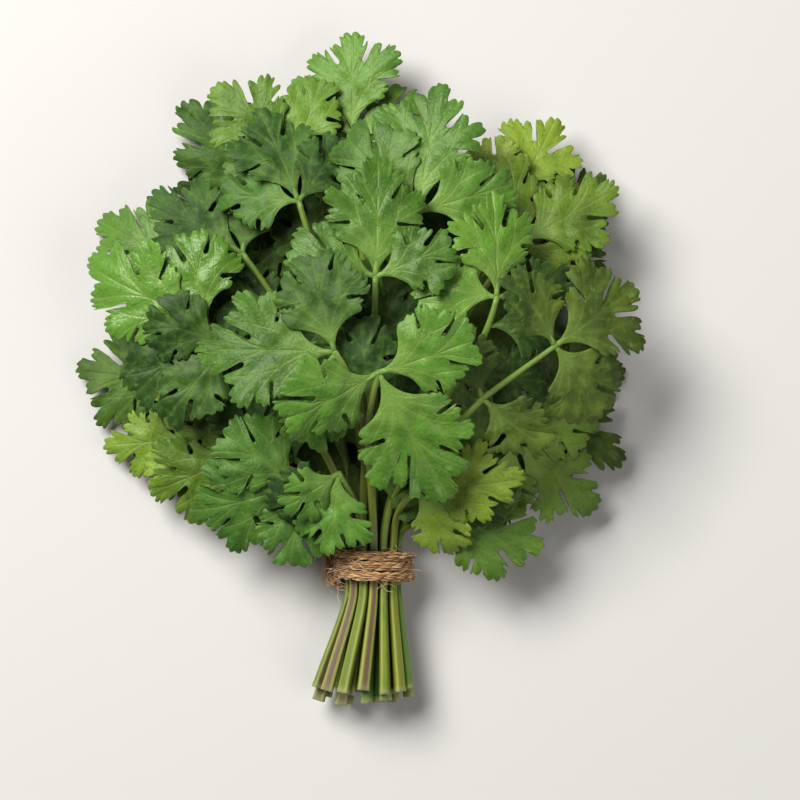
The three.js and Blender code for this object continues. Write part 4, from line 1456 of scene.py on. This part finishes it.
class CORIANDER_OT_stage(bpy.types.Operator):
    """Sets out the floor, the lights and the camera"""

    bl_idname = "coriander.stage"
    bl_label = "Stage"

    def execute(self, context):
        look = context.scene.coriander_stage
        scene = context.scene
        bm = bmesh.new()
        bmesh.ops.create_grid(bm, x_segments=1, y_segments=1, size=FLOOR_HALF * MM)
        mesh = bpy.data.meshes.new("floor")
        bm.to_mesh(mesh)
        bm.free()
        floor = bpy.data.objects.new("floor", mesh)
        scene.collection.objects.link(floor)
        paint = Paint("floor")
        speckle = paint.noise(paint.object_place(), 30, 2.0)
        rough = speckle * 0.1 + 0.75
        floor.data.materials.append(paint.finish({"Base Color": colour(look.floor), "Roughness": rough}))
        for lamp in LAMPS:
            self.light(scene, lamp, look.key)
        world = bpy.data.worlds.new("surround")
        world.use_nodes = True
        background = world.node_tree.nodes["Background"]
        background.inputs["Color"].default_value = SURROUND
        background.inputs["Strength"].default_value = look.fill
        scene.world = world
        camera = bpy.data.cameras.new("camera")
        camera.sensor_width = SENSOR
        camera.lens = SENSOR * (look.distance - VIEW["level"] * MM) / (VIEW["across"] * MM)
        camera.clip_start = 0.05
        holder = bpy.data.objects.new("camera", camera)
        holder.location = (VIEW["x"] * MM, VIEW["y"] * MM, look.distance)
        scene.collection.objects.link(holder)
        scene.camera = holder
        scene.view_settings.view_transform = "Standard"
        return {"FINISHED"}

    def light(self, scene, lamp, power):
        """A square light turned to the middle of the bunch."""
        light = bpy.data.lights.new(lamp.name, "AREA")
        light.energy, light.size, light.color = power * lamp.power, lamp.size * MM, lamp.tone
        holder = bpy.data.objects.new(lamp.name, light)
        holder.location = metres(lamp.place)
        aim = metres(LIT) - holder.location
        holder.rotation_euler = aim.to_track_quat("-Z", "Y").to_euler()
        scene.collection.objects.link(holder)


class CORIANDER_PT_panel(bpy.types.Panel):
    """Lists what the bunch is made of."""

    bl_idname = "CORIANDER_PT_panel"
    bl_label = "Coriander bunch"
    bl_space_type = "VIEW_3D"
    bl_region_type = "UI"
    bl_category = "Coriander"

    def draw(self, context):
        for scene_name, _, operator in PARTS:
            box = self.layout.box()
            box.operator(operator.bl_idname)
            values = getattr(context.scene, scene_name)
            for name in values.__class__.__annotations__:
                box.prop(values, name)


# The name that the scene has each group of values under, the group and the operator that uses it.
PARTS = (
    ("coriander_stalks", CORIANDER_PG_stalks, CORIANDER_OT_stalks),
    ("coriander_leaves", CORIANDER_PG_leaves, CORIANDER_OT_leaves),
    ("coriander_twine", CORIANDER_PG_twine, CORIANDER_OT_twine),
    ("coriander_stage", CORIANDER_PG_stage, CORIANDER_OT_stage),
)


def register():
    for name, group, operator in PARTS:
        bpy.utils.register_class(group)
        setattr(bpy.types.Scene, name, PointerProperty(type=group))
        bpy.utils.register_class(operator)
    bpy.utils.register_class(CORIANDER_PT_panel)


def unregister():
    bpy.utils.unregister_class(CORIANDER_PT_panel)
    for name, group, operator in reversed(PARTS):
        bpy.utils.unregister_class(operator)
        delattr(bpy.types.Scene, name)
        bpy.utils.unregister_class(group)


def main():
    register()
    bpy.ops.coriander.stalks()
    bpy.ops.coriander.leaves()
    bpy.ops.coriander.twine()
    bpy.ops.coriander.stage()
    bpy.context.view_layer.update()


if __name__ == "__main__":
    main()
